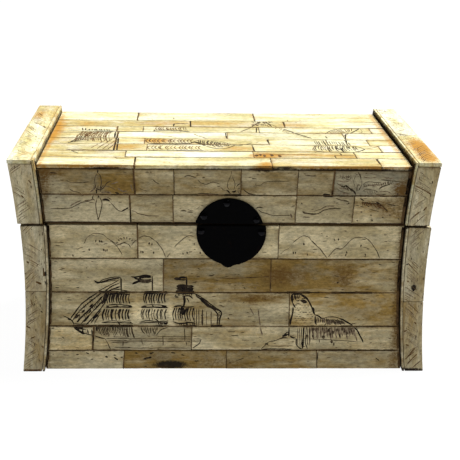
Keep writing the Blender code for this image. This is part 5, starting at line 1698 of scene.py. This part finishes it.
def make_nail(node, seed):
    """A hand-forged domed head with a thin skirt."""
    low, high = (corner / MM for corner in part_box(node))
    centre = (low + high) / 2
    radius = (high.x - low.x) / 2
    height = high.y - low.y
    segments = 28
    profile = [(radius, 0.0), (radius, 0.16 * height), (radius * 0.93, 0.30 * height)]
    for i in range(1, 7):
        tilt = math.pi / 2 * i / 7
        profile.append((radius * 0.88 * math.cos(tilt), height * (0.32 + 0.68 * math.sin(tilt))))
    points = []
    for reach, out in profile:
        for k in range(segments):
            angle = 2 * math.pi * k / segments
            dent = 1 + 0.035 * noise.noise((3 * math.cos(angle), 3 * math.sin(angle), seed + out))
            points.append((centre.x + reach * dent * math.cos(angle), high.y - out,
                           centre.z + reach * dent * math.sin(angle)))
    points.append((centre.x, low.y, centre.z))
    faces = ring_faces(len(profile) - 1, segments)
    crown = (len(profile) - 1) * segments
    faces += [(crown + k, crown + (k + 1) % segments, len(points) - 1) for k in range(segments)]
    faces.append(tuple(reversed(range(segments))))
    piece = Cladding(seed)
    places = np.array(points)
    piece.add(places, faces, [0] * len(faces), places)
    piece.finish(f"{node}_head", node, "nail_iron", (NAIL_IRON,))


def make_lock():
    make_plate("lock_plate_upper", 801)
    make_plate("lock_plate_lower", 802)
    for number, name in enumerate(("right", "top", "left", "lower_left", "lower_right")):
        make_nail(f"lock_nail_{name}", 810 + number)


def dress_boards():
    """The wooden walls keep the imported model's shapes and get their wood."""
    for name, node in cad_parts.items():
        if name.endswith("_board") or "_end_board_" in name:
            for material_slot in node.material_slots:
                material_slot.material = WOOD


# Setting

def make_stage():
    mesh = bpy.data.meshes.new("floor")
    half = FLOOR_SIZE * MM / 2
    mesh.from_pydata([(-half, -half, 0), (half, -half, 0), (half, half, 0), (-half, half, 0)], [],
                     [(0, 1, 2, 3)])
    mesh.materials.append(make_floor_material())
    floor = bpy.data.objects.new("floor", mesh)
    bpy.context.scene.collection.objects.link(floor)


def make_light():
    lamp = bpy.data.lights.new("soft_sun", "SUN")
    lamp.energy = SUN_STRENGTH
    lamp.angle = SUN_ANGLE
    sun = bpy.data.objects.new("soft_sun", lamp)
    sun.rotation_mode = "QUATERNION"
    sun.rotation_quaternion = SUN_FROM.to_track_quat("Z", "Y")
    sun.location = SUN_FROM
    bpy.context.scene.collection.objects.link(sun)
    world = bpy.data.worlds.new("studio")
    world.use_nodes = True
    background = world.node_tree.nodes["Background"]
    background.inputs["Color"].default_value = (1.0, 1.0, 1.0, 1.0)
    background.inputs["Strength"].default_value = SKY_STRENGTH
    bpy.context.scene.world = world


def make_camera():
    to_view = (Matrix.Rotation(CAMERA_ROLL, 3, "Z") @ Matrix.Rotation(CAMERA_PITCH, 3, "X")
               @ Matrix(((1, 0, 0), (0, 0, -1), (0, 1, 0))) @ Matrix.Rotation(CAMERA_YAW, 3, "Z"))
    right, down, ahead = to_view
    turn = Matrix((right, -down, -ahead)).transposed()
    data = bpy.data.cameras.new("camera")
    data.sensor_width = SENSOR
    data.lens = SENSOR * FOCAL_PIXELS / PICTURE_PIXELS
    data.clip_start = 0.01
    data.clip_end = 100.0
    camera = bpy.data.objects.new("camera", data)
    camera.matrix_world = (Matrix.Translation(-(to_view.transposed() @ ORIGIN_IN_VIEW) * MM)
                           @ turn.to_4x4())
    bpy.context.scene.collection.objects.link(camera)
    bpy.context.scene.camera = camera


make_camera()
make_stage()
make_light()
bpy.context.scene.view_settings.view_transform = "Standard"
make_panels()
make_ends()
make_lock()
dress_boards()
